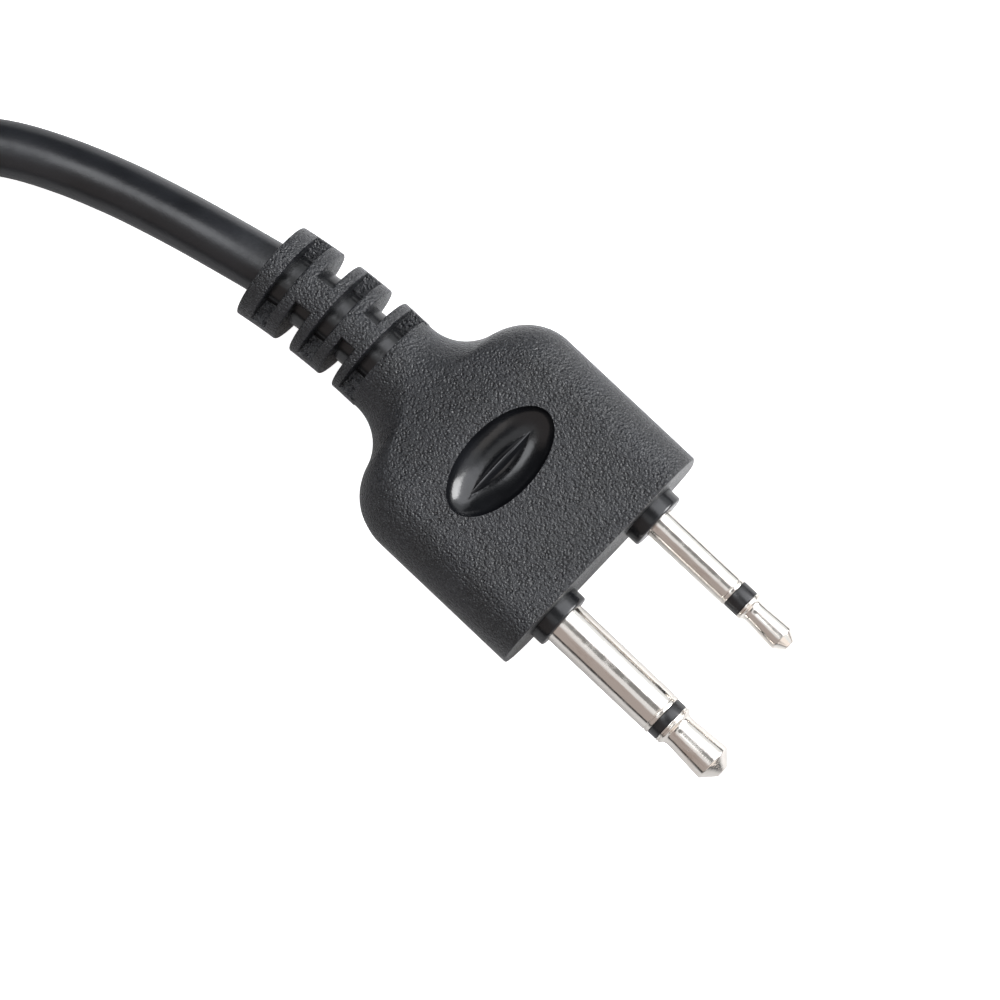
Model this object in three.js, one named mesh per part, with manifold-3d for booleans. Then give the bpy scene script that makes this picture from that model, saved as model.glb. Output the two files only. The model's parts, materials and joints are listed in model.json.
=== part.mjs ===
// Two-pin radio plug of an aviation headset lead, with its cord folded into a hank and the keyed
// quick-release connector on the cord's far end. Millimetres, +Z up.
//
// While it is built, x = 0 is the plug's flat front face, +X is the way the pins point, and z = 0 is
// the plug's mid-plane. At the end the whole group moves so that its origin is under the plug's centre.
import * as THREE from "three";
import { mergeVertices } from "three/addons/utils/BufferGeometryUtils.js";
import Module from "manifold-3d";

const wasm = await Module();
wasm.setup();

// ---------------------------------------------------------------- driving dimensions

const CLEAR = 0.1; // between pieces that fit one inside another
const CORD_CLEAR = 0.3; // between the cord's solids and what they meet
const SEGMENTS = 16; // round a turned piece
const OVER = 1; // how far a cutting tool reaches past what it cuts
const BEYOND = 9; // further out than any piece of the connector

const BODY = {
  halfWidth: 10.3,
  halfHeight: 5.0,
  edgeRadius: 3.6,
  shoulderStart: -13.0,
  shoulderRadius: 4.6,
  neckRadius: 4.06,
  neckFilletRadius: 4.04,
  rear: -21.9,
  thinEnd: -20.7,
  frontSkin: 0.9,
};
const LEAST_FLAT = 0.02; // what a section keeps straight between two round corners
const DIMPLE = { x: -10.1, halfLength: 2.7, halfWidth: 5.05, depth: 1.7 };
const RIB = { halfLength: 0.6, halfWidth: 3.1, crest: 0.35, root: 2.2 };
const CHAMBER = {
  halfWidth: 8.0,
  halfHeight: 2.8,
  corner: 1.0,
  taperStart: -11.5,
  taperHalfHeight: 2.6,
  rear: -15.2,
  rearHalfWidth: 3.4,
  rearHalfHeight: 2.5,
};
const MOULD = { rear: -6.1, halfWidth: 8.2, halfHeight: 3.2, edgeRadius: 1.2 };
const COLLAR = { radius: 2.375, length: 1.2, root: 0.5 };
const PIN_PITCH = 10.3;

// Each pin: sleeve, insulating ring, and a tip with a shoulder, a waist, a swelling and a flat cone.
const PINS = [
  {
    name: "large",
    y: -PIN_PITCH / 2,
    sleeveRadius: 1.75,
    boreRadius: 1.2,
    rodRadius: 0.7,
    sleeveEnd: 11.3,
    ringEnd: 12.1,
    ringRadius: 1.65,
    shoulderEnd: 12.55,
    shoulderRadius: 1.7,
    waistRadius: 1.32,
    swellAt: 16.4,
    swellRadius: 1.57,
    end: 17.4,
    endRadius: 0.5,
  },
  {
    name: "small",
    y: PIN_PITCH / 2,
    sleeveRadius: 1.25,
    boreRadius: 0.85,
    rodRadius: 0.45,
    sleeveEnd: 8.9,
    ringEnd: 10.15,
    ringRadius: 1.165,
    shoulderEnd: 10.5,
    shoulderRadius: 1.2,
    waistRadius: 0.92,
    swellAt: 13.75,
    swellRadius: 1.12,
    end: 14.6,
    endRadius: 0.5,
  },
];
const PIN_FLANGE = { front: -3.6, rear: -4.6, over: 0.6 };
const SLEEVE_REAR = -7.0;
const RING_TUBE_REAR = -7.5;
const TIP = { waistBehind: 0.45, shoulderTaper: 0.94, rodRear: -9.4 };
const WASHER = { thickness: 0.5, over: 0.4 };
const TAB = { length: 2.6, width: 1.3, thickness: 0.35 };
const LUG = { thickness: 0.4, play: 0.05, tabDrop: 0.2, tabRise: 0.1 };

const RELIEF = {
  ringRadius: 4.15,
  coreRadius: 2.6,
  boreRadius: 2.3,
  bridgeWidth: 2.36,
  bendRadius: 61,
  ringTilt: 0.45, // share of the axis's turn that the rings lean by
  end: -33.2,
  rootRadius: 3.3,
  rootFront: -19.2,
  rootRear: -20.4,
  rootPlay: 0.2,
  bridgeDrop: 0.1,
  boreFront: -18,
};
// Rings from the body to the end flange, as [front x, rear x] along the straight relief.
const RELIEF_RINGS = [
  [-23.1, -23.9],
  [-25.2, -26.1],
  [-27.3, -28.2],
  [-29.6, -30.6],
  [-31.8, -33.2],
];

const CORD = { radius: 2.2, sides: 8 };
const WIRE = { radius: 0.5, sides: 6, offset: 0.8, gap: 0.2 };
const WIRE_STARTS = { sleeve: -9.4, tip: -11.5 };
// On the way to the cord a wire keeps a share of its start's y and z.
const WIRE_STATIONS = [
  { x: -12.2, keepY: 0.86, keepZ: 0.8 },
  { x: -13.8, keepY: 0.45, keepZ: 0.3 },
];
const WIRE_GATHER = { x: -15.0, spread: 1.15 };
const CORD_FACE = -15.9; // where the jacket is stripped, inside the plug
const CRIMP = { front: -16.4, rear: -18.4, radius: 2.75 };

const FLOOR = -BODY.halfHeight;
const LYING = FLOOR + CORD.radius + 0.05; // height of the cord's centreline where it lies on the surface

// The hank lies in line with the plug: 2 columns of turns, 2 layers.
const HANK = {
  nearX: -80.5, // centre of the folds nearer the plug
  run: 80,
  y: -9,
  outerRadius: 17.7,
  innerRadius: 8.7,
  height: 8.8,
};
const TIE = {
  x: -115.5,
  width: 12,
  thickness: 0.6,
  lift: 0.8,
  crown: 6.5,
  crownPull: 1.6,
  underGap: 0.05,
  edgeOver: 0.7,
  corner: 0.9,
  topRun: 3,
  topRise: 0.3,
};

// Connector on the far end, along +X; stations count from the rear of its boot.
const CONNECTOR = { x: -121.5, z: FLOOR + 6.5 };
const BOOT = {
  length: 14,
  rearRadius: 3.0,
  frontRadius: 4.4,
  boreRadius: 2.35,
  collarOver: 0.6,
  collarLength: 1.5,
  grooveWidth: 0.9,
  grooveDepth: 0.6,
  groovePitch: 2.4,
};
const NUT = {
  front: 20,
  radius: 6.4,
  neckRadius: 5.1,
  neckEnd: 23.5,
  edge: 0.5,
  flatDepth: 0.45,
  flatLength: 3.5,
};
const SHELL = {
  rear: 20.1,
  step: 37.5,
  front: 45.5,
  radius: 6.4,
  boreRadius: 5.3,
  boreEnd: 36.0,
  noseRadius: 5.1,
  noseBore: 4.5,
  noseBoreStart: 36.8,
  noseEdge: 0.3,
  stepEdge: 0.4,
};
const KEYWAY = { start: 38.3, halfWidth: 0.7, depth: 0.35 };
const INSERT = { rear: 29, front: 45.3, radius: 4.35, flatHeight: 2.05, rim: 1.3 };
const CONTACT = {
  radius: 0.72,
  boreRadius: 0.45,
  rear: 26,
  front: 44.6,
  circle: 2.6,
  count: 5,
  spacesRound: 6.4,
  mouthRadius: 0.55,
  mouthDepth: 0.5,
};
const CLAMP = { rear: 14.6, front: 19.4, radius: 3.6, boreRadius: 2.35, slit: 0.8, slitLength: 3.5 };
const BUTTON = {
  x: 31.5,
  length: 6.4,
  width: 4.4,
  top: 7.3,
  armThickness: 0.7,
  armTop: 3.85,
  armWidth: 2.2,
  catchX: 40.4,
  catchLength: 2.2,
  catchTop: 5.75,
  rampStart: 0.9,
  rampAngle: Math.PI / 5,
  grooveDepth: 0.35,
  grooveWidth: 0.4,
  groovePitch: 1.2,
  grooves: 4,
  play: 0.15,
};
const OPENING_LOW = 2; // inside the shell, where the tools for its openings start
const LEAF = { thickness: 0.25, width: 1.8, rear: 28.7, front: 35.7 };
const CORD_END = { front: 18.6, rear: 0.1 };
const CONNECTOR_WIRES = { count: 4, straight: 19.8, between: 22.5, gathered: 25 };

const BLACK = { color: 0x26272a, roughness: 0.6, metalness: 0 };
const BLACK_SOFT = { color: 0x2b2c2f, roughness: 0.7, metalness: 0 };
const NICKEL = { color: 0xc9c6c0, roughness: 0.22, metalness: 1 };
const BRASS = { color: 0xb89a55, roughness: 0.35, metalness: 1 };
const SHELL_BLACK = { color: 0x1d1e20, roughness: 0.4, metalness: 0.6 };
const WIRE_COLOURS = [0xb32a2a, 0xe8e6df, 0x2c2d30, 0x2f6f3a];

// ---------------------------------------------------------------- solids

// A geometry as a manifold-3d solid: shared vertices are merged and flat triangles dropped.
function solid(geometry) {
  const bare = geometry.index ? geometry.toNonIndexed() : geometry.clone();
  bare.deleteAttribute("normal");
  bare.deleteAttribute("uv");
  const merged = mergeVertices(bare, 1e-4);
  const corners = merged.index.array;
  const kept = [];
  for (let i = 0; i < corners.length; i += 3) {
    const [a, b, c] = [corners[i], corners[i + 1], corners[i + 2]];
    if (a !== b && b !== c && c !== a) kept.push(a, b, c);
  }
  const vertProperties = merged.attributes.position.array;
  return new wasm.Manifold(new wasm.Mesh({ numProp: 3, vertProperties, triVerts: new Uint32Array(kept) }));
}

// A solid back as a geometry.
function geometryOf(made) {
  const mesh = made.getMesh();
  const geometry = new THREE.BufferGeometry();
  geometry.setAttribute("position", new THREE.BufferAttribute(new Float32Array(mesh.vertProperties), 3));
  geometry.setIndex(new THREE.BufferAttribute(new Uint32Array(mesh.triVerts), 1));
  const flat = geometry.toNonIndexed();
  flat.computeVertexNormals();
  return flat;
}

function joined(...geometries) {
  return geometries.map(solid).reduce((whole, piece) => whole.add(piece));
}

function cut(whole, ...geometries) {
  return geometries.map(solid).reduce((left, tool) => left.subtract(tool), whole);
}

// A profile of [x, radius] points turned about the X axis; it goes from front to rear on the outside.
function turned(points, segments = SEGMENTS) {
  const profile = points.map(([x, radius]) => new THREE.Vector2(radius, x)).reverse();
  return new THREE.LatheGeometry(profile, segments).rotateZ(-Math.PI / 2);
}

function bar(front, rear, radius, segments = SEGMENTS) {
  return turned([[front, 0], [front, radius], [rear, radius], [rear, 0]], segments);
}

function tube(front, rear, radius, bore, segments = SEGMENTS) {
  return turned([[front, bore], [front, radius], [rear, radius], [rear, bore], [front, bore]], segments);
}

function box(low, high) {
  const size = high.map((value, i) => value - low[i]);
  const middle = high.map((value, i) => (value + low[i]) / 2);
  return new THREE.BoxGeometry(...size).translate(...middle);
}

// A round section carried along a smooth curve through the points.
function swept(points, radius, sides, steps) {
  const corner = (i) => {
    const angle = (2 * Math.PI * i) / sides;
    return new THREE.Vector2(radius * Math.cos(angle), radius * Math.sin(angle));
  };
  const section = new THREE.Shape(Array.from({ length: sides }, (_, i) => corner(i)));
  const path = new THREE.CatmullRomCurve3(points.map((p) => new THREE.Vector3(...p)), false, "centripetal");
  return new THREE.ExtrudeGeometry(section, { steps, extrudePath: path });
}

// A bar along X through sections {x, halfWidth, halfHeight, corner}, from front to rear, each a
// rectangle with round corners.
function lofted(sections, cornerSteps = 5) {
  const around = 4 * (cornerSteps + 1);
  const levels = sections.length - 1;
  const geometry = new THREE.CylinderGeometry(1, 1, 1, around, levels);
  const position = geometry.attributes.position;
  for (let v = 0; v < position.count; v++) {
    const [px, py, pz] = [position.getX(v), position.getY(v), position.getZ(v)];
    const section = sections[Math.round((0.5 - py) * levels)];
    if (Math.hypot(px, pz) < 0.5) {
      position.setXYZ(v, section.x, 0, 0);
      continue;
    }
    const turn = Math.round((Math.atan2(px, pz) / (2 * Math.PI)) * around);
    const [y, z] = cornerPoint(section, (turn + around) % around, cornerSteps);
    position.setXYZ(v, section.x, y, z);
  }
  return geometry;
}

function cornerPoint({ halfWidth, halfHeight, corner }, index, cornerSteps) {
  const quarter = Math.floor(index / (cornerSteps + 1));
  const step = index % (cornerSteps + 1);
  const angle = (quarter + step / cornerSteps) * (Math.PI / 2);
  const sideY = quarter === 0 || quarter === 3 ? 1 : -1;
  const sideZ = quarter < 2 ? 1 : -1;
  const y = sideY * (halfWidth - corner) + corner * Math.cos(angle);
  const z = sideZ * (halfHeight - corner) + corner * Math.sin(angle);
  return [y, z];
}

// Bends what lies behind the body towards -Y on one arc, which starts at the body's rear.
function bent(geometry) {
  const position = geometry.attributes.position;
  for (let v = 0; v < position.count; v++) {
    const behind = BODY.rear - position.getX(v);
    if (behind <= 0) continue;
    const angle = behind / RELIEF.bendRadius;
    const side = position.getY(v);
    position.setX(v, BODY.rear - (RELIEF.bendRadius + side * RELIEF.ringTilt) * Math.sin(angle));
    position.setY(v, (RELIEF.bendRadius + side) * Math.cos(angle) - RELIEF.bendRadius);
  }
  return geometry;
}

// Where the bent axis passes, for a distance behind the body's rear.
function reliefAxis(behind) {
  const angle = behind / RELIEF.bendRadius;
  return [BODY.rear - RELIEF.bendRadius * Math.sin(angle), RELIEF.bendRadius * (Math.cos(angle) - 1), 0];
}

const part = new THREE.Group();

function place(name, geometry, look, at = [0, 0, 0], group = part) {
  const mesh = new THREE.Mesh(geometry, new THREE.MeshStandardMaterial(look));
  mesh.name = name;
  mesh.position.set(...at);
  group.add(mesh);
  return mesh;
}

// ---------------------------------------------------------------- plug body

// Plan half-widths from the front face to the neck: straight, round shoulder, hollow fillet.
function bodyPlan() {
  const { halfWidth, shoulderStart, shoulderRadius, neckRadius, neckFilletRadius, rear } = BODY;
  const shoulderY = halfWidth - shoulderRadius;
  const filletY = neckRadius + neckFilletRadius;
  const apart = Math.sqrt((shoulderRadius + neckFilletRadius) ** 2 - (filletY - shoulderY) ** 2);
  const filletX = shoulderStart - apart;
  const meet = Math.atan2(apart, filletY - shoulderY);
  const straightSteps = 3;
  const arcSteps = 7;
  const straight = (i) => [(shoulderStart * i) / straightSteps, halfWidth];
  const plan = Array.from({ length: straightSteps }, (_, i) => straight(i));
  for (let i = 0; i <= arcSteps; i++) {
    const angle = (meet * i) / arcSteps;
    plan.push([shoulderStart - shoulderRadius * Math.sin(angle), shoulderY + shoulderRadius * Math.cos(angle)]);
  }
  for (let i = arcSteps - 1; i >= 0; i--) {
    const angle = (meet * i) / arcSteps;
    plan.push([filletX + neckFilletRadius * Math.sin(angle), filletY - neckFilletRadius * Math.cos(angle)]);
  }
  plan.push([rear, neckRadius]);
  return plan;
}

// The body thins from its full height to the round neck over the same length.
function bodySections() {
  return bodyPlan().map(([x, halfWidth]) => {
    const along = THREE.MathUtils.smoothstep(-x, -BODY.shoulderStart, -BODY.thinEnd);
    const halfHeight = THREE.MathUtils.lerp(BODY.halfHeight, BODY.neckRadius, along);
    const corner = THREE.MathUtils.lerp(BODY.edgeRadius, BODY.neckRadius - LEAST_FLAT, along);
    const most = Math.min(halfWidth, halfHeight) - LEAST_FLAT;
    return { x, halfWidth, halfHeight, corner: Math.min(corner, most) };
  });
}

function dimpleTool(side) {
  return new THREE.SphereGeometry(1, 24, 12)
    .scale(DIMPLE.halfLength, DIMPLE.halfWidth, DIMPLE.depth)
    .translate(DIMPLE.x, 0, side * BODY.halfHeight);
}

function gripRib(side) {
  const height = RIB.root - RIB.crest;
  return new THREE.SphereGeometry(1, 12, 8)
    .scale(RIB.halfLength, RIB.halfWidth, height)
    .translate(DIMPLE.x, 0, side * (BODY.halfHeight - RIB.root));
}

function chamberTool() {
  const { halfWidth, halfHeight, corner } = CHAMBER;
  return lofted([
    { x: MOULD.rear + CLEAR, halfWidth, halfHeight, corner },
    { x: CHAMBER.taperStart, halfWidth, halfHeight: CHAMBER.taperHalfHeight, corner },
    { x: CHAMBER.rear, halfWidth: CHAMBER.rearHalfWidth, halfHeight: CHAMBER.rearHalfHeight, corner },
  ], 3);
}

function mouldBlock(grow) {
  const { rear, halfWidth, halfHeight, edgeRadius } = MOULD;
  const section = { halfWidth: halfWidth + grow, halfHeight: halfHeight + grow, corner: edgeRadius + grow };
  return lofted([{ x: -BODY.frontSkin + grow, ...section }, { x: rear - grow, ...section }], 3);
}

// The dimples are cut and their ribs added before the hollow for the mould and the wires.
function plugBody() {
  let made = cut(solid(lofted(bodySections())), dimpleTool(1), dimpleTool(-1));
  made = made.add(solid(gripRib(1))).add(solid(gripRib(-1)));
  const collarHole = bar(OVER, -BODY.frontSkin - OVER, COLLAR.radius + CLEAR);
  const collarHoles = PINS.map(({ y }) => collarHole.clone().translate(0, y, 0));
  const neckBore = bar(CHAMBER.rear + OVER, BODY.rear - OVER, CRIMP.radius + CLEAR);
  const { rootFront, rootRear, rootPlay, rootRadius } = RELIEF;
  const rootPocket = bar(rootFront + rootPlay, rootRear - rootPlay, rootRadius + CLEAR);
  made = cut(made, mouldBlock(CLEAR), chamberTool(), ...collarHoles, neckBore, rootPocket);
  place("plug_body", geometryOf(made), BLACK);
}

// ---------------------------------------------------------------- strain relief

function reliefBridges(front, rear, alongY) {
  const half = RELIEF.bridgeWidth / 2;
  const reach = RELIEF.ringRadius;
  const sizeY = alongY ? reach : half;
  const sizeZ = alongY ? half : reach;
  const block = solid(bent(box([rear, -sizeY, -sizeZ], [front, sizeY, sizeZ])));
  return block.intersect(solid(bent(bar(front + OVER, rear - OVER, RELIEF.ringRadius - RELIEF.bridgeDrop))));
}

function strainRelief() {
  const levels = 12;
  const overlap = 0.1;
  const rod = (front, rear, radius) => {
    const side = Array.from({ length: levels + 1 }, (_, i) => [front + ((rear - front) * i) / levels, radius]);
    return bent(turned([[front, 0], ...side, [rear, 0]]));
  };
  let made = solid(rod(RELIEF.rootRear, RELIEF.end + overlap, RELIEF.coreRadius));
  made = made.add(solid(bar(RELIEF.rootFront, RELIEF.rootRear - RELIEF.rootPlay, RELIEF.rootRadius)));
  for (const [ringFront, ringRear] of RELIEF_RINGS) {
    made = made.add(solid(bent(bar(ringFront, ringRear, RELIEF.ringRadius))));
  }
  RELIEF_RINGS.forEach(([ringFront], i) => {
    const gapFront = i === 0 ? BODY.rear - RELIEF.rootPlay : RELIEF_RINGS[i - 1][1] + overlap;
    made = made.add(reliefBridges(gapFront, ringFront - overlap, i % 2 === 0));
  });
  made = cut(made, rod(RELIEF.boreFront, RELIEF.end - OVER, RELIEF.boreRadius));
  place("strain_relief", geometryOf(made), BLACK_SOFT);
}

// ---------------------------------------------------------------- pins and their mould

function innerMould() {
  let made = solid(mouldBlock(0));
  for (const { y, sleeveRadius } of PINS) {
    const collar = bar(COLLAR.length, -BODY.frontSkin - COLLAR.root, COLLAR.radius).translate(0, y, 0);
    made = made.add(solid(collar));
    const hole = bar(COLLAR.length + OVER, MOULD.rear - OVER, sleeveRadius + CLEAR).translate(0, y, 0);
    const flangeRadius = sleeveRadius + PIN_FLANGE.over + CLEAR;
    const groove = bar(PIN_FLANGE.front + CLEAR, PIN_FLANGE.rear - CLEAR, flangeRadius).translate(0, y, 0);
    made = cut(made, hole, groove);
  }
  place("inner_mould", geometryOf(made), BLACK);
}

// A washer round the pin with a solder tab behind it.
function solderLug(front, radius, bore, tabZ) {
  const rear = front - LUG.thickness;
  const tab = box([rear - TAB.length, -TAB.width / 2, tabZ - TAB.thickness], [front, TAB.width / 2, tabZ]);
  return geometryOf(joined(tube(front, rear, radius, bore), tab));
}

function pin(spec) {
  const { name, y, sleeveRadius, boreRadius, rodRadius, sleeveEnd, ringEnd, ringRadius } = spec;
  const at = [0, y, 0];
  const flangeRadius = sleeveRadius + PIN_FLANGE.over;
  place(`${name}_pin_sleeve`, turned([
    [sleeveEnd, boreRadius], [sleeveEnd, sleeveRadius], [PIN_FLANGE.front, sleeveRadius],
    [PIN_FLANGE.front, flangeRadius], [PIN_FLANGE.rear, flangeRadius], [PIN_FLANGE.rear, sleeveRadius],
    [SLEEVE_REAR, sleeveRadius], [SLEEVE_REAR, boreRadius], [sleeveEnd, boreRadius],
  ]), NICKEL, at);
  const ringFront = ringEnd - CLEAR / 2;
  const tubeBore = rodRadius + CLEAR;
  place(`${name}_pin_insulator`, turned([
    [ringFront, tubeBore], [ringFront, ringRadius], [sleeveEnd + CLEAR, ringRadius],
    [sleeveEnd + CLEAR, boreRadius - CLEAR], [RING_TUBE_REAR, boreRadius - CLEAR], [RING_TUBE_REAR, tubeBore],
    [ringFront, tubeBore],
  ]), BLACK, at);
  const waistAt = spec.shoulderEnd + TIP.waistBehind;
  place(`${name}_pin_tip`, turned([
    [spec.end, 0], [spec.end, spec.endRadius], [spec.swellAt, spec.swellRadius], [waistAt, spec.waistRadius],
    [spec.shoulderEnd, spec.shoulderRadius * TIP.shoulderTaper], [ringEnd, spec.shoulderRadius],
    [ringEnd, rodRadius], [TIP.rodRear, rodRadius], [TIP.rodRear, 0],
  ]), NICKEL, at);
  const washerFront = RING_TUBE_REAR - CLEAR;
  const washerRear = washerFront - WASHER.thickness;
  const washerRadius = boreRadius + WASHER.over;
  place(`${name}_pin_washer`, tube(washerFront, washerRear, washerRadius, tubeBore), BLACK_SOFT, at);
  const sleeveLugFront = MOULD.rear - CLEAR;
  const lugBore = sleeveRadius + LUG.play;
  const sleeveLug = solderLug(sleeveLugFront, flangeRadius, lugBore, flangeRadius - LUG.tabDrop);
  place(`${name}_sleeve_lug`, sleeveLug, BRASS, at);
  const tipLug = solderLug(washerRear - CLEAR, washerRadius, rodRadius + LUG.play, LUG.tabRise - boreRadius);
  place(`${name}_tip_lug`, tipLug, BRASS, at);
}

// ---------------------------------------------------------------- wires and cord inside the plug

// Each wire runs from a solder tab to its place in the stripped end of the cord.
function plugWires() {
  const starts = [];
  for (const { name, y, boreRadius, sleeveRadius } of PINS) {
    const reach = WIRE.radius + CLEAR;
    const sleeveZ = sleeveRadius + PIN_FLANGE.over - LUG.tabDrop - TAB.thickness - reach;
    starts.push({ name: `${name}_sleeve_wire`, start: [WIRE_STARTS.sleeve, y, sleeveZ] });
    starts.push({ name: `${name}_tip_wire`, start: [WIRE_STARTS.tip, y, LUG.tabRise - boreRadius + reach] });
  }
  starts.forEach(({ name, start }, i) => {
    const side = Math.sign(start[1]);
    const up = i % 2 === 0 ? 1 : -1;
    const end = [CORD_FACE + WIRE.gap, side * WIRE.offset, up * WIRE.offset];
    const between = WIRE_STATIONS.map(({ x, keepY, keepZ }) => {
      return [x, start[1] * keepY, start[2] * keepZ + end[2] * (1 - keepZ)];
    });
    const gathered = [WIRE_GATHER.x, end[1] * WIRE_GATHER.spread, end[2]];
    const points = [start, ...between, gathered, end];
    const look = { color: WIRE_COLOURS[i], roughness: 0.5, metalness: 0 };
    place(name, swept(points, WIRE.radius, WIRE.sides, 10), look);
  });
}

function cordInPlug() {
  const straight = [CORD_FACE, -18, -20, BODY.rear].map((x) => [x, 0, 0]);
  const curved = [2, 4, 6, 8, 10, BODY.rear - RELIEF.end].map(reliefAxis);
  place("cord_root", swept([...straight, ...curved], CORD.radius, 10, 14), BLACK_SOFT);
  place("cord_crimp", tube(CRIMP.front, CRIMP.rear, CRIMP.radius, CORD.radius + CLEAR), BRASS);
}

// ---------------------------------------------------------------- free cord

// From the end flange the cord drops to the surface and curves round to the hank.
function leadRoute() {
  const start = reliefAxis(BODY.rear - RELIEF.end + CORD_CLEAR);
  return [
    start,
    [-36.4, -1.78, -0.15],
    [-39.8, -2.57, -0.6],
    [-43.1, -3.4, -1.3],
    [-46.4, -4.35, -2.0],
    [-50.4, -5.8, -2.6],
    [-54.3, -7.7, LYING],
    [-57.6, -10.1, LYING],
    [-60.2, -12.7, LYING],
  ];
}

// From the crest where it passes over the hank's turns, down into the hank's middle and the boot.
function tailRoute() {
  return [
    [-146.2, HANK.y + 11.7, 6.35],
    [-142.7, HANK.y + 9.5, 6.3],
    [-139.6, HANK.y + 7.4, 5.6],
    [-136.4, HANK.y + 5.4, 4.3],
    [-133, HANK.y + 3.4, 2.9],
    [-129.5, HANK.y + 1.7, 1.9],
    [-126, HANK.y + 0.6, 1.55],
    [CONNECTOR.x - CORD_CLEAR, HANK.y, CONNECTOR.z],
  ];
}

function raceTrack(radius, run) {
  const outline = new THREE.Shape();
  outline.absarc(0, 0, radius, -Math.PI / 2, Math.PI / 2);
  outline.absarc(-run, 0, radius, Math.PI / 2, (3 * Math.PI) / 2);
  outline.closePath();
  return new THREE.Shape(outline.getPoints(9));
}

function hank() {
  const flat = raceTrack(HANK.outerRadius, HANK.run);
  const whole = new THREE.ExtrudeGeometry(flat, { depth: HANK.height, bevelEnabled: false });
  const middle = new THREE.ExtrudeGeometry(raceTrack(HANK.innerRadius, HANK.run), {
    depth: HANK.height + 2 * OVER,
    bevelEnabled: false,
  }).translate(0, 0, -OVER);
  const half = TIE.width / 2 + CORD_CLEAR;
  const tieX = TIE.x - HANK.nearX;
  const grooveReach = HANK.outerRadius + OVER;
  const groove = box([tieX - half, -grooveReach, -OVER], [tieX + half, grooveReach, TIE.lift + CORD_CLEAR]);
  const made = cut(solid(whole), middle, groove);
  place("cord_hank", geometryOf(made), BLACK_SOFT, [HANK.nearX, HANK.y, FLOOR]);
}

// The tie is a flat strap round the hank, flat below and crowned where it passes over the boot.
function tieOutline(grow) {
  const side = HANK.outerRadius + CORD_CLEAR + grow;
  const low = TIE.underGap + TIE.thickness - grow;
  const edge = HANK.height + TIE.edgeOver + grow;
  const crown = TIE.crown - FLOOR + grow;
  const round = TIE.corner + grow;
  const shoulder = side - TIE.topRun;
  const outline = new THREE.Shape();
  outline.moveTo(-side + round, low);
  outline.lineTo(side - round, low);
  outline.absarc(side - round, low + round, round, -Math.PI / 2, 0);
  outline.lineTo(side, edge - round);
  outline.quadraticCurveTo(side, edge, shoulder, edge + TIE.topRise);
  outline.quadraticCurveTo(0, crown + TIE.crownPull, -shoulder, edge + TIE.topRise);
  outline.quadraticCurveTo(-side, edge, -side, edge - round);
  outline.lineTo(-side, low + round);
  outline.absarc(-side + round, low + round, round, Math.PI, (3 * Math.PI) / 2);
  return new THREE.Shape(outline.getPoints(6));
}

function hankTie() {
  const band = (grow, width) =>
    new THREE.ExtrudeGeometry(tieOutline(grow), { depth: width, bevelEnabled: false });
  const made = cut(solid(band(TIE.thickness, TIE.width)), band(0, TIE.width + 2 * OVER).translate(0, 0, -OVER));
  const geometry = geometryOf(made).translate(0, 0, -TIE.width / 2);
  geometry.rotateX(Math.PI / 2).rotateZ(Math.PI / 2);
  place("hank_tie", geometry, BLACK_SOFT, [TIE.x, HANK.y, FLOOR]);
}

function freeCord() {
  place("cord_lead", swept(leadRoute(), CORD.radius, CORD.sides, 12), BLACK_SOFT);
  place("cord_tail", swept(tailRoute(), CORD.radius, CORD.sides, 12), BLACK_SOFT);
  hank();
  hankTie();
}

// ---------------------------------------------------------------- connector on the far end

function boot() {
  const { length, rearRadius, frontRadius, boreRadius } = BOOT;
  const radiusAt = (x) => THREE.MathUtils.lerp(rearRadius, frontRadius, x / length);
  const { collarOver, collarLength, grooveWidth, grooveDepth, groovePitch } = BOOT;
  const collar = frontRadius + collarOver;
  const outside = [[length, collar], [length - collarLength, collar]];
  for (let x = length - collarLength; x > groovePitch; x -= groovePitch) {
    const bottom = radiusAt(x) - grooveDepth;
    const next = x - groovePitch;
    const grooveRear = x - grooveWidth;
    outside.push([x, bottom], [grooveRear, bottom], [grooveRear, radiusAt(x)], [next, radiusAt(next)]);
  }
  const rear = [[0, rearRadius], [0, boreRadius], [length, boreRadius]];
  return turned([[length, boreRadius], ...outside, ...rear]);
}

function backNut() {
  const { front, radius, neckRadius, neckEnd, edge, flatDepth, flatLength } = NUT;
  const rear = BOOT.length + CLEAR;
  const bore = CLAMP.radius + CLEAR;
  const ring = turned([
    [neckEnd, bore], [neckEnd, neckRadius], [front, neckRadius], [front, radius], [rear + edge, radius],
    [rear, radius - edge], [rear, bore], [neckEnd, bore],
  ]);
  const flats = [1, -1].map((side) => {
    const [inner, outer] = [radius - flatDepth, radius + OVER];
    const [low, high] = side > 0 ? [inner, outer] : [-outer, -inner];
    return box([rear - OVER, low, -BEYOND], [rear + flatLength, high, BEYOND]);
  });
  return geometryOf(cut(solid(ring), ...flats));
}

function cableClamp() {
  const { rear, front, radius, boreRadius, slit, slitLength } = CLAMP;
  const collet = solid(tube(front, rear, radius, boreRadius));
  return geometryOf(cut(collet, box([front - slitLength, -slit / 2, 0], [front + OVER, slit / 2, BEYOND])));
}

// An opening in the shell's top round a piece of the button, with some play.
function shellOpening(rear, front, width) {
  const half = width / 2 + BUTTON.play;
  return box([rear - BUTTON.play, -half, OPENING_LOW], [front + BUTTON.play, half, BEYOND]);
}

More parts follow.
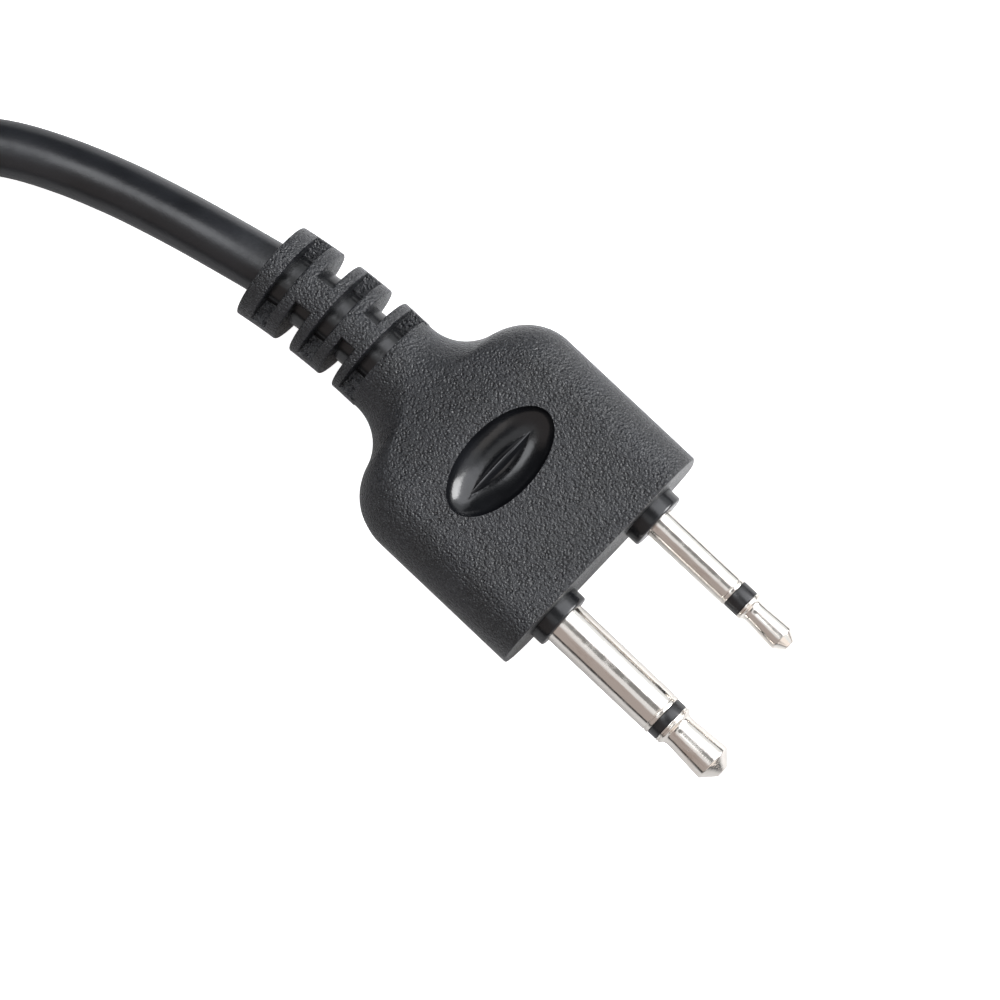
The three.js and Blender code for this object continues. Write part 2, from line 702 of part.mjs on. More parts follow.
function connectorShell() {
  const { rear, step, front, radius, boreRadius, boreEnd } = SHELL;
  const { noseRadius, noseBore, noseBoreStart, noseEdge, stepEdge } = SHELL;
  const body = turned([
    [front, noseBore], [front, noseRadius - noseEdge], [front - noseEdge, noseRadius], [step, noseRadius],
    [step, radius - stepEdge], [step - stepEdge, radius], [rear, radius], [rear, boreRadius],
    [boreEnd, boreRadius], [noseBoreStart, noseBore], [front, noseBore],
  ], 24);
  const { x, length, width, catchX, catchLength, armWidth } = BUTTON;
  const buttonHole = shellOpening(x - length / 2, x + length / 2, width);
  const catchSlot = shellOpening(catchX, catchX + catchLength, armWidth);
  const { start, halfWidth, depth } = KEYWAY;
  const keyway = box([start, -halfWidth, -noseRadius - OVER], [front + OVER, halfWidth, -noseRadius + depth]);
  return geometryOf(cut(solid(body), buttonHole, catchSlot, keyway));
}

function contactPlaces() {
  return Array.from({ length: CONTACT.count }, (_, i) => {
    const angle = -Math.PI / 2 + ((i - (CONTACT.count - 1) / 2) * 2 * Math.PI) / CONTACT.spacesRound;
    return [CONTACT.circle * Math.cos(angle), CONTACT.circle * Math.sin(angle)];
  });
}

function connectorInsert() {
  const { rear, front, radius, flatHeight, rim } = INSERT;
  const top = box([rear - OVER, -BEYOND, flatHeight], [front - rim, BEYOND, BEYOND]);
  const holes = contactPlaces().flatMap(([y, z]) => [
    bar(CONTACT.front + CLEAR, rear - OVER, CONTACT.radius + CLEAR, 12).translate(0, y, z),
    bar(front + OVER, CONTACT.front - CONTACT.mouthDepth, CONTACT.mouthRadius, 12).translate(0, y, z),
  ]);
  return geometryOf(cut(solid(bar(front, rear, radius)), top, ...holes));
}

// The cap stands through the shell, and its arm carries the catch to the nose.
function releaseButton() {
  const { x, length, width, top, armThickness, armTop, armWidth, catchX, catchLength, catchTop } = BUTTON;
  const { grooveDepth, grooveWidth, groovePitch, grooves, rampStart, rampAngle } = BUTTON;
  const half = length / 2;
  const cap = box([x - half, -width / 2, armTop - armThickness], [x + half, width / 2, top]);
  const grooveTools = Array.from({ length: grooves }, (_, i) => {
    const middle = x + (i - (grooves - 1) / 2) * groovePitch;
    const [rear, front] = [middle - grooveWidth / 2, middle + grooveWidth / 2];
    return box([rear, -BEYOND, top - grooveDepth], [front, BEYOND, top + OVER]);
  });
  const arm = box([x, -armWidth / 2, armTop - armThickness], [catchX + catchLength, armWidth / 2, armTop]);
  const hook = box([catchX, -armWidth / 2, armTop - CLEAR], [catchX + catchLength, armWidth / 2, catchTop]);
  const ramp = box([0, -BEYOND, 0], [2 * catchLength, BEYOND, catchLength])
    .rotateY(rampAngle)
    .translate(catchX + rampStart, 0, catchTop);
  return geometryOf(cut(joined(cap, arm, hook), ...grooveTools, ramp));
}

// A bowed leaf between the insert's flat and the button's arm.
function latchSpring() {
  const low = INSERT.flatHeight + CLEAR;
  const high = BUTTON.armTop - BUTTON.armThickness - CLEAR;
  const { rear, front, thickness } = LEAF;
  const middle = (rear + front) / 2;
  const outline = new THREE.Shape();
  outline.moveTo(rear, low);
  outline.quadraticCurveTo(middle, 2 * (high - thickness) - low, front, low);
  outline.lineTo(front, low + thickness);
  outline.quadraticCurveTo(middle, 2 * high - low - thickness, rear, low + thickness);
  const flat = new THREE.Shape(outline.getPoints(8));
  const leaf = new THREE.ExtrudeGeometry(flat, { depth: LEAF.width, bevelEnabled: false });
  return leaf.rotateX(Math.PI / 2).translate(0, LEAF.width / 2, 0);
}

function connectorWires(group) {
  const { count, straight, between, gathered } = CONNECTOR_WIRES;
  contactPlaces().slice(0, count).forEach(([y, z], i) => {
    const corner = [i < count / 2 ? -1 : 1, i % 3 === 0 ? 1 : -1];
    const [startY, startZ] = corner.map((side) => side * WIRE.offset);
    const points = [
      [CORD_END.front + WIRE.gap, startY, startZ],
      [straight, startY, startZ],
      [between, (startY + y) / 2, (startZ + z) / 2],
      [gathered, y, z],
      [CONTACT.rear - WIRE.gap, y, z],
    ];
    const look = { color: WIRE_COLOURS[i], roughness: 0.5, metalness: 0 };
    place(`connector_wire_${i + 1}`, swept(points, WIRE.radius, WIRE.sides, 8), look, [0, 0, 0], group);
  });
  const cordEnd = bar(CORD_END.front, CORD_END.rear, CORD.radius, 10);
  place("connector_cord_end", cordEnd, BLACK_SOFT, [0, 0, 0], group);
}

function connector() {
  const group = new THREE.Group();
  group.position.set(CONNECTOR.x, HANK.y, CONNECTOR.z);
  part.add(group);
  const add = (name, geometry, look) => place(name, geometry, look, [0, 0, 0], group);
  add("connector_boot", boot(), BLACK_SOFT);
  add("connector_back_nut", backNut(), SHELL_BLACK);
  add("connector_cable_clamp", cableClamp(), BRASS);
  add("connector_shell", connectorShell(), SHELL_BLACK);
  add("connector_insert", connectorInsert(), BLACK);
  contactPlaces().forEach(([y, z], i) => {
    const socket = tube(CONTACT.front, CONTACT.rear, CONTACT.radius, CONTACT.boreRadius, 10).translate(0, y, z);
    add(`connector_contact_${i + 1}`, socket, BRASS);
  });
  add("release_button", releaseButton(), NICKEL);
  add("latch_spring", latchSpring(), NICKEL);
  connectorWires(group);
}

// ---------------------------------------------------------------- assembly

plugBody();
strainRelief();
innerMould();
PINS.forEach(pin);
plugWires();
cordInPlug();
freeCord();
connector();

// The origin goes under the middle of the plug, on the surface that it lies on.
const plugBox = new THREE.Box3();
for (const name of ["plug_body", "strain_relief", "large_pin_tip", "small_pin_tip", "cord_root"]) {
  plugBox.expandByObject(part.getObjectByName(name), true);
}
const plugCentre = plugBox.getCenter(new THREE.Vector3());
part.position.set(-plugCentre.x, -plugCentre.y, -plugBox.min.z);

export default part;
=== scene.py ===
"""The look of a two-pin radio plug, its lead and the quick-release connector on the lead's far end.

Each sub-assembly works in millimetres in a frame of its own, and its Datum turns those into metres in
the row frame. In the plug's frame x = 0 is the flat front face, +X is the way the pins point, and
z = 0 is the mid-plane. The cord uses the same frame. In the connector's frame x = 0 is the rear of
the boot and the X axis is the connector's own axis.
"""

from __future__ import annotations

import json
import logging
import math
from dataclasses import dataclass, field
from enum import Enum
from typing import Sequence, Union

import bmesh
import bpy
from mathutils import Matrix, Vector


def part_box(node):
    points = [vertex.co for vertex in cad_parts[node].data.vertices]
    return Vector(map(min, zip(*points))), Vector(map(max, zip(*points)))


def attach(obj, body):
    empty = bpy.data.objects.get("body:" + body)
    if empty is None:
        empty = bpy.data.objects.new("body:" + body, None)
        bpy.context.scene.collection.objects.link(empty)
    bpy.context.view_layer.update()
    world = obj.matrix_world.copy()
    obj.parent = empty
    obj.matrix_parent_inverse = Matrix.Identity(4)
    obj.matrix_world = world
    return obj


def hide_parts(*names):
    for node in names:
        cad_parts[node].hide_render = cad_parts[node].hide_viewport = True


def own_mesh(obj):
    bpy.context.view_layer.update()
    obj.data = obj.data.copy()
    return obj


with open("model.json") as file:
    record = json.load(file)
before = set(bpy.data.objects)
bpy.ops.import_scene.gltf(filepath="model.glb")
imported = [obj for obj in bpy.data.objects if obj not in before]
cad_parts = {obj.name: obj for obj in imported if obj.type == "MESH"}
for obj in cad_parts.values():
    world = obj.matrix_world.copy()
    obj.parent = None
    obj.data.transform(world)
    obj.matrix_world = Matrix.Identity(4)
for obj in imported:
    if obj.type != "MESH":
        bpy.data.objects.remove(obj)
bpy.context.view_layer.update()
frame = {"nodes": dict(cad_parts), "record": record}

LOG = logging.getLogger("plug_and_lead")
MM = 0.001

Colour = tuple[float, float, float, float]
Point = tuple[float, float, float]
Pair = tuple[float, float]
Corner = tuple[float, float, float]
Ring = list[Point]


class Body(Enum):
    """The rigid bodies that pieces ride on."""

    LEAD = "lead"
    BUTTON = "button"


class Slot(Enum):
    """The record's material slots."""

    PLUG = "plug_pvc"
    INSULATOR = "insulator"
    NICKEL = "nickel"
    BRASS = "brass"
    GOLD = "gold_contact"
    JACKET = "cord_jacket"
    BOOT = "boot_rubber"
    SHELL = "shell_finish"
    STRAP = "tie_strap"
    WIRE_RED = "wire_red"
    WIRE_WHITE = "wire_white"
    WIRE_BLACK = "wire_black"
    WIRE_GREEN = "wire_green"


class Carve(Enum):
    """What a boolean does with its tool."""

    TAKE_AWAY = "DIFFERENCE"
    JOIN = "UNION"


# ------------------------------------------------------------------ shader building


class Value:
    """A node's output socket that Python arithmetic can use: each operator adds a Math node."""

    def __init__(self, tree: "Shading", output: bpy.types.NodeSocket) -> None:
        """Keep the socket and the tree it belongs to."""
        self.tree = tree
        self.output = output

    def _math(self, operation: str, left: "Operand", right: "Operand") -> "Value":
        """Add one Math node.

        Args:
            operation: Blender's name of the operation.
            left: the first operand.
            right: the second operand.

        Returns:
            The result.
        """
        made = self.tree.node("ShaderNodeMath", {"operation": operation}, {0: left, 1: right})
        return Value(self.tree, made.outputs[0])

    def __add__(self, other: "Operand") -> "Value":
        """Sum."""
        return self._math("ADD", self, other)

    __radd__ = __add__

    def __sub__(self, other: "Operand") -> "Value":
        """Difference."""
        return self._math("SUBTRACT", self, other)

    def __rsub__(self, other: "Operand") -> "Value":
        """Difference, from a number."""
        return self._math("SUBTRACT", other, self)

    def __mul__(self, other: "Operand") -> "Value":
        """Product."""
        return self._math("MULTIPLY", self, other)

    __rmul__ = __mul__

    def across(self, span: Pair) -> "Value":
        """Carry 0 to 1 over to a span, such as the two ends of a finish's roughness."""
        low, high = span
        return self * (high - low) + low

    def between(self, low: float, high: float) -> "Value":
        """Rise smoothly from 0 at low to 1 at high, or fall where high is the smaller.

        Args:
            low: input where the result is 0.
            high: input where the result is 1.

        Returns:
            The ramped value.
        """
        settings = {"interpolation_type": "SMOOTHSTEP"}
        inputs = {"Value": self, "From Min": low, "From Max": high}
        made = self.tree.node("ShaderNodeMapRange", settings, inputs)
        return Value(self.tree, made.outputs["Result"])


Operand = Union[Value, float]


class Shading:
    """A node tree that shader expressions are built in."""

    def __init__(self, tree: bpy.types.NodeTree, coordinate: str) -> None:
        """Empty the tree.

        Args:
            tree: the node tree.
            coordinate: the texture coordinate that stands for a place or a direction.
        """
        self.tree = tree
        self.tree.nodes.clear()
        coordinates = self.node("ShaderNodeTexCoord")
        self.place = Value(self, coordinates.outputs[coordinate])

    def node(self, kind: str, settings: dict | None = None, inputs: dict | None = None) -> bpy.types.Node:
        """Add any node.

        Args:
            kind: Blender's node type.
            settings: the node's own properties, set first.
            inputs: socket name or number to a value or a Value to link.

        Returns:
            The node.
        """
        made = self.tree.nodes.new(kind)
        for key, setting in (settings or {}).items():
            setattr(made, key, setting)
        for key, value in (inputs or {}).items():
            if isinstance(value, Value):
                self.tree.links.new(value.output, made.inputs[key])
            else:
                made.inputs[key].default_value = value
        return made

    def stretched(self, x: float, y: float, z: float) -> Value:
        """The surface's place, with each axis scaled.

        Args:
            x: factor along X.
            y: factor along Y.
            z: factor along Z.

        Returns:
            The scaled place.
        """
        inputs = {0: self.place, 1: (x, y, z)}
        made = self.node("ShaderNodeVectorMath", {"operation": "MULTIPLY"}, inputs)
        return Value(self, made.outputs["Vector"])

    def noise(
        self, size_mm: float, detail: float = 2.0, rough: float = 0.5, place: Value | None = None
    ) -> Value:
        """Cloudy noise from 0 to 1.

        Args:
            size_mm: size of its features.
            detail: how many finer layers it has.
            rough: how strong they are.
            place: where it is read, or None for the surface's own place.

        Returns:
            The noise.
        """
        inputs = {"Vector": place or self.place, "Scale": 1 / (size_mm * MM)}
        inputs.update({"Detail": detail, "Roughness": rough})
        return Value(self, self.node("ShaderNodeTexNoise", {}, inputs).outputs["Fac"])

    def cells(self, size_mm: float) -> Value:
        """Distance from scattered points, for pits and specks.

        Args:
            size_mm: mean distance between the points.

        Returns:
            The distance, 0 at a point.
        """
        inputs = {"Vector": self.place, "Scale": 1 / (size_mm * MM)}
        return Value(self, self.node("ShaderNodeTexVoronoi", {}, inputs).outputs["Distance"])

    def axis(self, name: str) -> Value:
        """One coordinate of the surface's place, in metres.

        Args:
            name: X, Y or Z.

        Returns:
            The coordinate.
        """
        made = self.node("ShaderNodeSeparateXYZ", {}, {"Vector": self.place})
        return Value(self, made.outputs[name])

    def blend(self, amount: Operand, first: Colour | Value, second: Colour | Value) -> Value:
        """Mix two colours.

        Args:
            amount: 0 for the first, 1 for the second.
            first: one colour.
            second: the other colour.

        Returns:
            The mixed colour.
        """
        settings = {"data_type": "RGBA", "blend_type": "MIX"}
        made = self.node("ShaderNodeMix", settings, {0: amount, 6: first, 7: second})
        return Value(self, made.outputs[2])

    def link(self, source: bpy.types.NodeSocket, target: bpy.types.NodeSocket) -> None:
        """Link two sockets."""
        self.tree.links.new(source, target)


class FinishTree(Shading):
    """One material's node tree."""

    def __init__(self, name: str) -> None:
        """Start an empty material.

        Args:
            name: the material's name.
        """
        self.material = bpy.data.materials.new(name)
        self.material.use_nodes = True
        super().__init__(self.material.node_tree, "Object")

    def bump(self, height: Value, depth_mm: float, under: Value | None = None) -> Value:
        """A normal that follows a height.

        Args:
            height: the height, 0 to 1.
            depth_mm: what a height of 1 stands for.
            under: a normal to bump on top of.

        Returns:
            The normal.
        """
        inputs: dict = {"Strength": 1.0, "Distance": depth_mm * MM, "Height": height}
        if under is not None:
            inputs["Normal"] = under
        return Value(self, self.node("ShaderNodeBump", {}, inputs).outputs["Normal"])

    def surface(self, constants: dict, **varying: Value) -> bpy.types.Material:
        """Finish the material with one shader.

        Args:
            constants: socket name to a number or colour that is the same all over.
            varying: Base Color, Roughness and Normal, with spaces as underscores.

        Returns:
            The material.
        """
        inputs = dict(constants)
        inputs.update({name.replace("_", " "): value for name, value in varying.items()})
        shader = self.node("ShaderNodeBsdfPrincipled", {}, inputs)
        output = self.node("ShaderNodeOutputMaterial")
        self.link(shader.outputs["BSDF"], output.inputs["Surface"])
        return self.material


def grey(level: float) -> Colour:
    """A neutral colour of a linear brightness."""
    return (level, level, level, 1.0)


# ------------------------------------------------------------------ finishes


@dataclass(frozen=True)
class MouldedPlastic:
    """Black soft plastic with the fine grain of a spark-eroded mould, or polished where the grain is 0."""

    name: str
    dark: Colour = (0.0050, 0.0056, 0.0070, 1.0)
    light: Colour = (0.0085, 0.0094, 0.0118, 1.0)
    # crest: painted glints, a lighter colour laid on the peaks of the grain
    crest: Colour = (0.030, 0.032, 0.037, 1.0)
    # dust: light specks, partly dust and partly painted glints on the grain
    dust: Colour = grey(0.16)
    roughness: Pair = (0.25, 0.35)
    cloud_mm: float = 3.0
    wear_mm: float = 1.1
    dust_mm: float = 1.7
    grain_mm: float = 0.16
    grain_depth_mm: float = 0.19
    wave_mm: float = 1.5
    wave_depth_mm: float = 0.03

    def material(self) -> bpy.types.Material:
        """Build the material."""
        tree = FinishTree(self.name)
        cloud = tree.noise(self.cloud_mm, 3.0)
        wave = tree.noise(self.wave_mm, 2.5)
        colour = tree.blend(cloud.between(0.3, 0.72), self.dark, self.light)
        normal = tree.bump(wave, self.wave_depth_mm)
        rough = cloud.across(self.roughness)
        if self.grain_depth_mm > 0:
            grain = tree.noise(self.grain_mm, 2.0, 0.6)
            pores = tree.cells(self.grain_mm * 1.6)
            worn = tree.noise(self.wear_mm, 4.0, 0.65).between(0.55, 0.72)
            dust = tree.cells(self.dust_mm).between(0.045, 0.02) * tree.noise(5.0).between(0.48, 0.6)
            height = grain * 0.7 + pores.between(0.05, 0.6) * 0.3
            normal = tree.bump(height, self.grain_depth_mm, normal)
            # painted glints: the peaks of the grain take the lighter crest colour
            colour = tree.blend(grain.between(0.52, 0.68) * 0.5, colour, self.crest)
            # light specks, partly dust and partly painted glints on the grain
            colour = tree.blend(dust * 0.6, colour, self.dust)
            rough = rough - worn * 0.08 + (0.5 - grain) * 0.3
        return tree.surface({"Specular IOR Level": 0.5}, Base_Color=colour, Roughness=rough, Normal=normal)


@dataclass(frozen=True)
class CordJacket:
    """Satin extruded jacket: faint waviness, dust and handling marks."""

    name: str
    dark: Colour = (0.0055, 0.006, 0.0074, 1.0)
    light: Colour = (0.0095, 0.0103, 0.0125, 1.0)
    dust: Colour = grey(0.2)
    roughness: Pair = (0.24, 0.31)
    cloud_mm: float = 5.0
    dust_mm: float = 1.3
    fine_mm: float = 0.12
    fine_depth_mm: float = 0.008
    wave_mm: float = 1.6
    wave_depth_mm: float = 0.035

    def material(self) -> bpy.types.Material:
        """Build the material."""
        tree = FinishTree(self.name)
        cloud = tree.noise(self.cloud_mm, 3.0)
        fine = tree.noise(self.fine_mm, 2.0, 0.55)
        wave = tree.noise(self.wave_mm, 2.0)
        dust = tree.cells(self.dust_mm).between(0.07, 0.03)
        colour = tree.blend(cloud.between(0.3, 0.7), self.dark, self.light)
        colour = tree.blend(dust * tree.noise(4.0).between(0.55, 0.7) * 0.5, colour, self.dust)
        normal = tree.bump(fine, self.fine_depth_mm, tree.bump(wave, self.wave_depth_mm))
        rough = cloud.across(self.roughness) + fine * 0.05
        return tree.surface({"Specular IOR Level": 0.5}, Base_Color=colour, Roughness=rough, Normal=normal)


@dataclass(frozen=True)
class PlatedMetal:
    """Plated or plain metal: fine turning marks, lengthwise rubs, stains and small pits."""

    name: str
    clean: Colour = (0.75, 0.715, 0.67, 1.0)
    stained: Colour = (0.60, 0.52, 0.46, 1.0)
    roughness: Pair = (0.07, 0.2)
    pit: Colour = grey(0.14)
    stain_mm: float = 1.1
    cloud_mm: float = 0.7
    cloud_depth_mm: float = 0.007
    pit_mm: float = 0.55
    pit_depth_mm: float = 0.01
    drawn_mm: float = 0.22
    drawn_depth_mm: float = 0.006
    turning_mm: float = 0.05
    turning_depth_mm: float = 0.0018

    def material(self) -> bpy.types.Material:
        """Build the material."""
        tree = FinishTree(self.name)
        stain = tree.noise(self.stain_mm, 5.0, 0.65, tree.stretched(0.35, 1.0, 1.0)).between(0.5, 0.72)
        cloud = tree.noise(self.cloud_mm, 4.0, 0.6)
        turning = tree.noise(self.turning_mm, 2.0, 0.6, tree.stretched(1.0, 0.02, 0.02))
        pits = tree.cells(self.pit_mm).between(0.075, 0.03) * tree.noise(1.5).between(0.5, 0.62)
        colour = tree.blend(stain * 0.55, self.clean, self.stained)
        colour = tree.blend(pits * 0.8, colour, self.pit)
        rough = cloud.between(0.35, 0.75).across(self.roughness) + stain * 0.06
        drawn = tree.noise(self.drawn_mm, 3.0, 0.6, tree.stretched(0.1, 1.0, 1.0))
        normal = tree.bump(cloud, self.cloud_depth_mm)
        normal = tree.bump(1 - pits, self.pit_depth_mm, normal)
        normal = tree.bump(drawn, self.drawn_depth_mm, normal)
        normal = tree.bump(turning, self.turning_depth_mm, normal)
        return tree.surface({"Metallic": 1.0}, Base_Color=colour, Roughness=rough, Normal=normal)


@dataclass(frozen=True)
class SmoothPlastic:
    """Hard or soft smooth plastic with faint flow marks, for rings, washers and wires."""

    name: str
    dark: Colour = (0.006, 0.006, 0.007, 1.0)
    light: Colour = (0.012, 0.012, 0.013, 1.0)
    roughness: Pair = (0.18, 0.3)
    flow_mm: float = 0.8
    fine_mm: float = 0.15
    fine_depth_mm: float = 0.004

    def material(self) -> bpy.types.Material:
        """Build the material."""
        tree = FinishTree(self.name)
        flow = tree.noise(self.flow_mm, 3.0)
        fine = tree.noise(self.fine_mm, 2.0)
        colour = tree.blend(flow.between(0.3, 0.7), self.dark, self.light)
        normal = tree.bump(fine, self.fine_depth_mm)
        return tree.surface({}, Base_Color=colour, Roughness=flow.across(self.roughness), Normal=normal)


@dataclass(frozen=True)
class CoatedShell:
    """Satin black coating over metal: fine orange peel, and bright rubs on what stands proud."""

    name: str
    coat: Colour = (0.014, 0.0142, 0.015, 1.0)
    worn: Colour = (0.055, 0.054, 0.052, 1.0)
    peel_mm: float = 0.22
    peel_depth_mm: float = 0.012
    rub_mm: float = 1.6

    def material(self) -> bpy.types.Material:
        """Build the material."""
        tree = FinishTree(self.name)
        peel = tree.noise(self.peel_mm, 2.0)
        rub = tree.noise(self.rub_mm, 5.0, 0.65, tree.stretched(0.5, 1.0, 1.0)).between(0.6, 0.78)
        colour = tree.blend(rub * 0.6, self.coat, self.worn)
        rough = 0.34 - rub * 0.1 + peel * 0.06
        normal = tree.bump(peel, self.peel_depth_mm)
        return tree.surface({"Metallic": 0.0}, Base_Color=colour, Roughness=rough, Normal=normal)


@dataclass(frozen=True)
class Webbing:
    """Woven hook-and-loop strap: ribs of warp and weft with loose fuzz."""

    name: str
    thread_mm: float = 0.55
    thread_depth_mm: float = 0.12
    fuzz_mm: float = 0.12
    dark: Colour = (0.008, 0.008, 0.009, 1.0)
    light: Colour = (0.045, 0.045, 0.048, 1.0)

    def material(self) -> bpy.types.Material:
        """Build the material."""
        tree = FinishTree(self.name)
        turns = math.tau / (self.thread_mm * MM)
        warp = self._wave(tree, tree.axis("X") * turns)
        weft = self._wave(tree, (tree.axis("Y") + tree.axis("Z") * 0.9) * turns)
        fuzz = tree.noise(self.fuzz_mm, 3.0, 0.7)
        height = warp * weft * 0.7 + fuzz * 0.3
        colour = tree.blend(height.between(0.2, 0.75), self.dark, self.light)
        rough = 0.78 + fuzz * 0.15
        normal = tree.bump(height, self.thread_depth_mm)
        return tree.surface({"Sheen Weight": 0.25}, Base_Color=colour, Roughness=rough, Normal=normal)

    @staticmethod
    def _wave(tree: FinishTree, angle: Value) -> Value:
        """A wave from 0 to 1.

        Args:
            tree: the tree that gets the node.
            angle: the wave's angle, in radians.

        Returns:
            The wave.
        """
        made = tree.node("ShaderNodeMath", {"operation": "SINE"}, {0: angle})
        return Value(tree, made.outputs[0]) * 0.5 + 0.5


WIRE_TONES = {
    Slot.WIRE_RED: ((0.36, 0.02, 0.02, 1.0), (0.5, 0.05, 0.045, 1.0)),
    Slot.WIRE_WHITE: ((0.62, 0.61, 0.57, 1.0), (0.78, 0.77, 0.74, 1.0)),
    Slot.WIRE_BLACK: ((0.014, 0.014, 0.014, 1.0), (0.026, 0.026, 0.026, 1.0)),
    Slot.WIRE_GREEN: ((0.02, 0.16, 0.045, 1.0), (0.04, 0.25, 0.08, 1.0)),
}


@dataclass
class Finishes:
    """Every material of the object, built once."""

    grained: bpy.types.Material = field(init=False)
    polished: bpy.types.Material = field(init=False)
    by_slot: dict[Slot, bpy.types.Material] = field(init=False)

    def __post_init__(self) -> None:
        """Build the materials."""
        self.grained = MouldedPlastic("grained_black_plastic").material()
        self.polished = MouldedPlastic(
            "polished_black_plastic",
            dark=(0.0038, 0.0042, 0.005, 1.0),
            light=(0.0065, 0.007, 0.0085, 1.0),
            roughness=(0.15, 0.25),
            grain_depth_mm=0.0,
            wave_mm=0.8,
            wave_depth_mm=0.02,
        ).material()
        brass = PlatedMetal("plain_brass", (0.62, 0.44, 0.19, 1.0), (0.4, 0.27, 0.12, 1.0), (0.22, 0.38))
        gold = PlatedMetal("gold_flash", (0.86, 0.62, 0.24, 1.0), (0.7, 0.5, 0.22, 1.0), (0.14, 0.24))
        boot = MouldedPlastic("matte_boot_rubber", roughness=(0.6, 0.72), grain_mm=0.16, grain_depth_mm=0.02)
        self.by_slot = {
            Slot.PLUG: self.grained,
            Slot.INSULATOR: SmoothPlastic("glossy_black_insulator").material(),
            Slot.NICKEL: PlatedMetal("bright_nickel").material(),
            Slot.BRASS: brass.material(),
            Slot.GOLD: gold.material(),
            Slot.JACKET: CordJacket("satin_cord_jacket").material(),
            Slot.BOOT: boot.material(),
            Slot.SHELL: CoatedShell("satin_black_shell").material(),
            Slot.STRAP: Webbing("woven_strap").material(),
        }
        for slot, (dark, light) in WIRE_TONES.items():
            self.by_slot[slot] = SmoothPlastic(slot.value, dark, light, (0.3, 0.42)).material()


# ------------------------------------------------------------------ mesh building


@dataclass(frozen=True)
class Datum:
    """A sub-assembly's own origin in the row frame, in metres."""

    origin: Vector

    def point(self, place: Sequence[float]) -> Vector:
        """Turn a place in millimetres into the row frame, in metres."""
        return self.origin + Vector(place) * MM


def filleted(corners: Sequence[Corner], steps: int = 4) -> list[Pair]:
    """Round the corners of an open outline.

    Args:
        corners: each corner's two coordinates and the length that its rounding takes of each side.
        steps: how many pieces a rounding has.

    Returns:
        The outline's points.
    """
    outline = []
    for i, (x, y, length) in enumerate(corners):
        here = Vector((x, y))
        if length <= 0 or i in (0, len(corners) - 1):
            outline.append((x, y))
            continue
        ends = []
        for other in (corners[i - 1], corners[i + 1]):
            side = Vector(other[:2]) - here
            ends.append(here + side * min(0.49, length / side.length))
        for step in range(steps + 1):
            t = step / steps
            place = ends[0] * (1 - t) ** 2 + here * 2 * t * (1 - t) + ends[1] * t**2
            outline.append((place.x, place.y))
    return outline


def edge_arc(size: float, steps: int = 3) -> list[Pair]:
    """Round an edge with a quarter circle.

    Args:
        size: its radius.
        steps: how many pieces it has.

    Returns:
        How far each point lies behind the face and how far it is drawn in.
    """
    angles = [math.pi / 2 * step / steps for step in range(steps + 1)]
    return [(size * (1 - math.cos(a)), size * (1 - math.sin(a))) for a in angles]


class Surface:
    """Vertices and faces in millimetres, gathered before they become one object."""

    def __init__(self) -> None:
        """Start empty."""
        self.vertices: list[Point] = []
        self.faces: list[list[int]] = []

    def skin(self, rings: Sequence[Ring], looped: bool = False) -> "Surface":
        """Join closed rings of equal length into a skin.

        Args:
            rings: the rings, in order.
            looped: whether the last ring joins the first; otherwise a face closes each end.

        Returns:
            This surface.
        """
        first = len(self.vertices)
        around = len(rings[0])
        for ring in rings:
            self.vertices.extend(ring)
        pairs = [(i, i + 1) for i in range(len(rings) - 1)]
        if looped:
            pairs.append((len(rings) - 1, 0))
        for a, b in pairs:
            for j in range(around):
                k = (j + 1) % around
                corner = [first + a * around + j, first + a * around + k, first + b * around + k]
                self.faces.append([*corner, first + b * around + j])
        if not looped:
            last = first + (len(rings) - 1) * around
            self.faces.append([first + j for j in range(around)])
            self.faces.append([last + j for j in range(around)])
        return self

    def turned(
        self, profile: Sequence[Pair], around: int = 96, centre: Point = (0, 0, 0)
    ) -> "Surface":
        """Turn a profile about the X axis.

        Args:
            profile: (x, radius) points; it closes on itself when the last equals the first.
            around: how many facets it has.
            centre: added to each point.

        Returns:
            This surface.
        """
        looped = profile[0] == profile[-1]
        kept = profile[:-1] if looped else [p for p in profile if p[1] > 0]
        angles = [math.tau * j / around for j in range(around)]
        rings = [
            [
                (x + centre[0], radius * math.cos(a) + centre[1], radius * math.sin(a) + centre[2])
                for a in angles
            ]
            for x, radius in kept
        ]
        return self.skin(rings, looped=looped)

    def block(self, low: Point, high: Point) -> "Surface":
        """Add a box.

        Args:
            low: its lowest corner.
            high: its highest corner.

        Returns:
            This surface.
        """
        rings = [
            [(x, low[1], low[2]), (x, high[1], low[2]), (x, high[1], high[2]), (x, low[1], high[2])]
            for x in (low[0], high[0])
        ]
        return self.skin(rings)

    def piece(self, name: str, datum: Datum) -> bpy.types.Object:
        """Make the object, with its faces pointing out.

        Args:
            name: the object's name.
            datum: the frame that the millimetres are in.

        Returns:
            The object.
        """
        mesh = bpy.data.meshes.new(name)
        mesh.from_pydata([datum.point(v) for v in self.vertices], [], self.faces)
        shape = bmesh.new()
        shape.from_mesh(mesh)
        bmesh.ops.remove_doubles(shape, verts=shape.verts, dist=1e-7)
        bmesh.ops.recalc_face_normals(shape, faces=shape.faces)
        shape.to_mesh(mesh)
        shape.free()
        made = bpy.data.objects.new(name, mesh)
        bpy.context.scene.collection.objects.link(made)
        return made


def settle(piece: bpy.types.Object) -> None:
    """Apply every modifier of a piece to its mesh."""
    graph = bpy.context.evaluated_depsgraph_get()
    mesh = bpy.data.meshes.new_from_object(piece.evaluated_get(graph))
    piece.modifiers.clear()
    piece.data = mesh


def carve(piece: bpy.types.Object, tool: bpy.types.Object, way: Carve = Carve.TAKE_AWAY) -> None:
    """Cut a tool out of a piece, or join it on, and throw the tool away.

    Args:
        piece: what is changed.
        tool: the other solid.
        way: cut or join.
    """
    modifier = piece.modifiers.new("carve", "BOOLEAN")
    modifier.operation = way.value
    modifier.solver = "EXACT"
    modifier.object = tool
    settle(piece)
    bpy.data.objects.remove(tool)


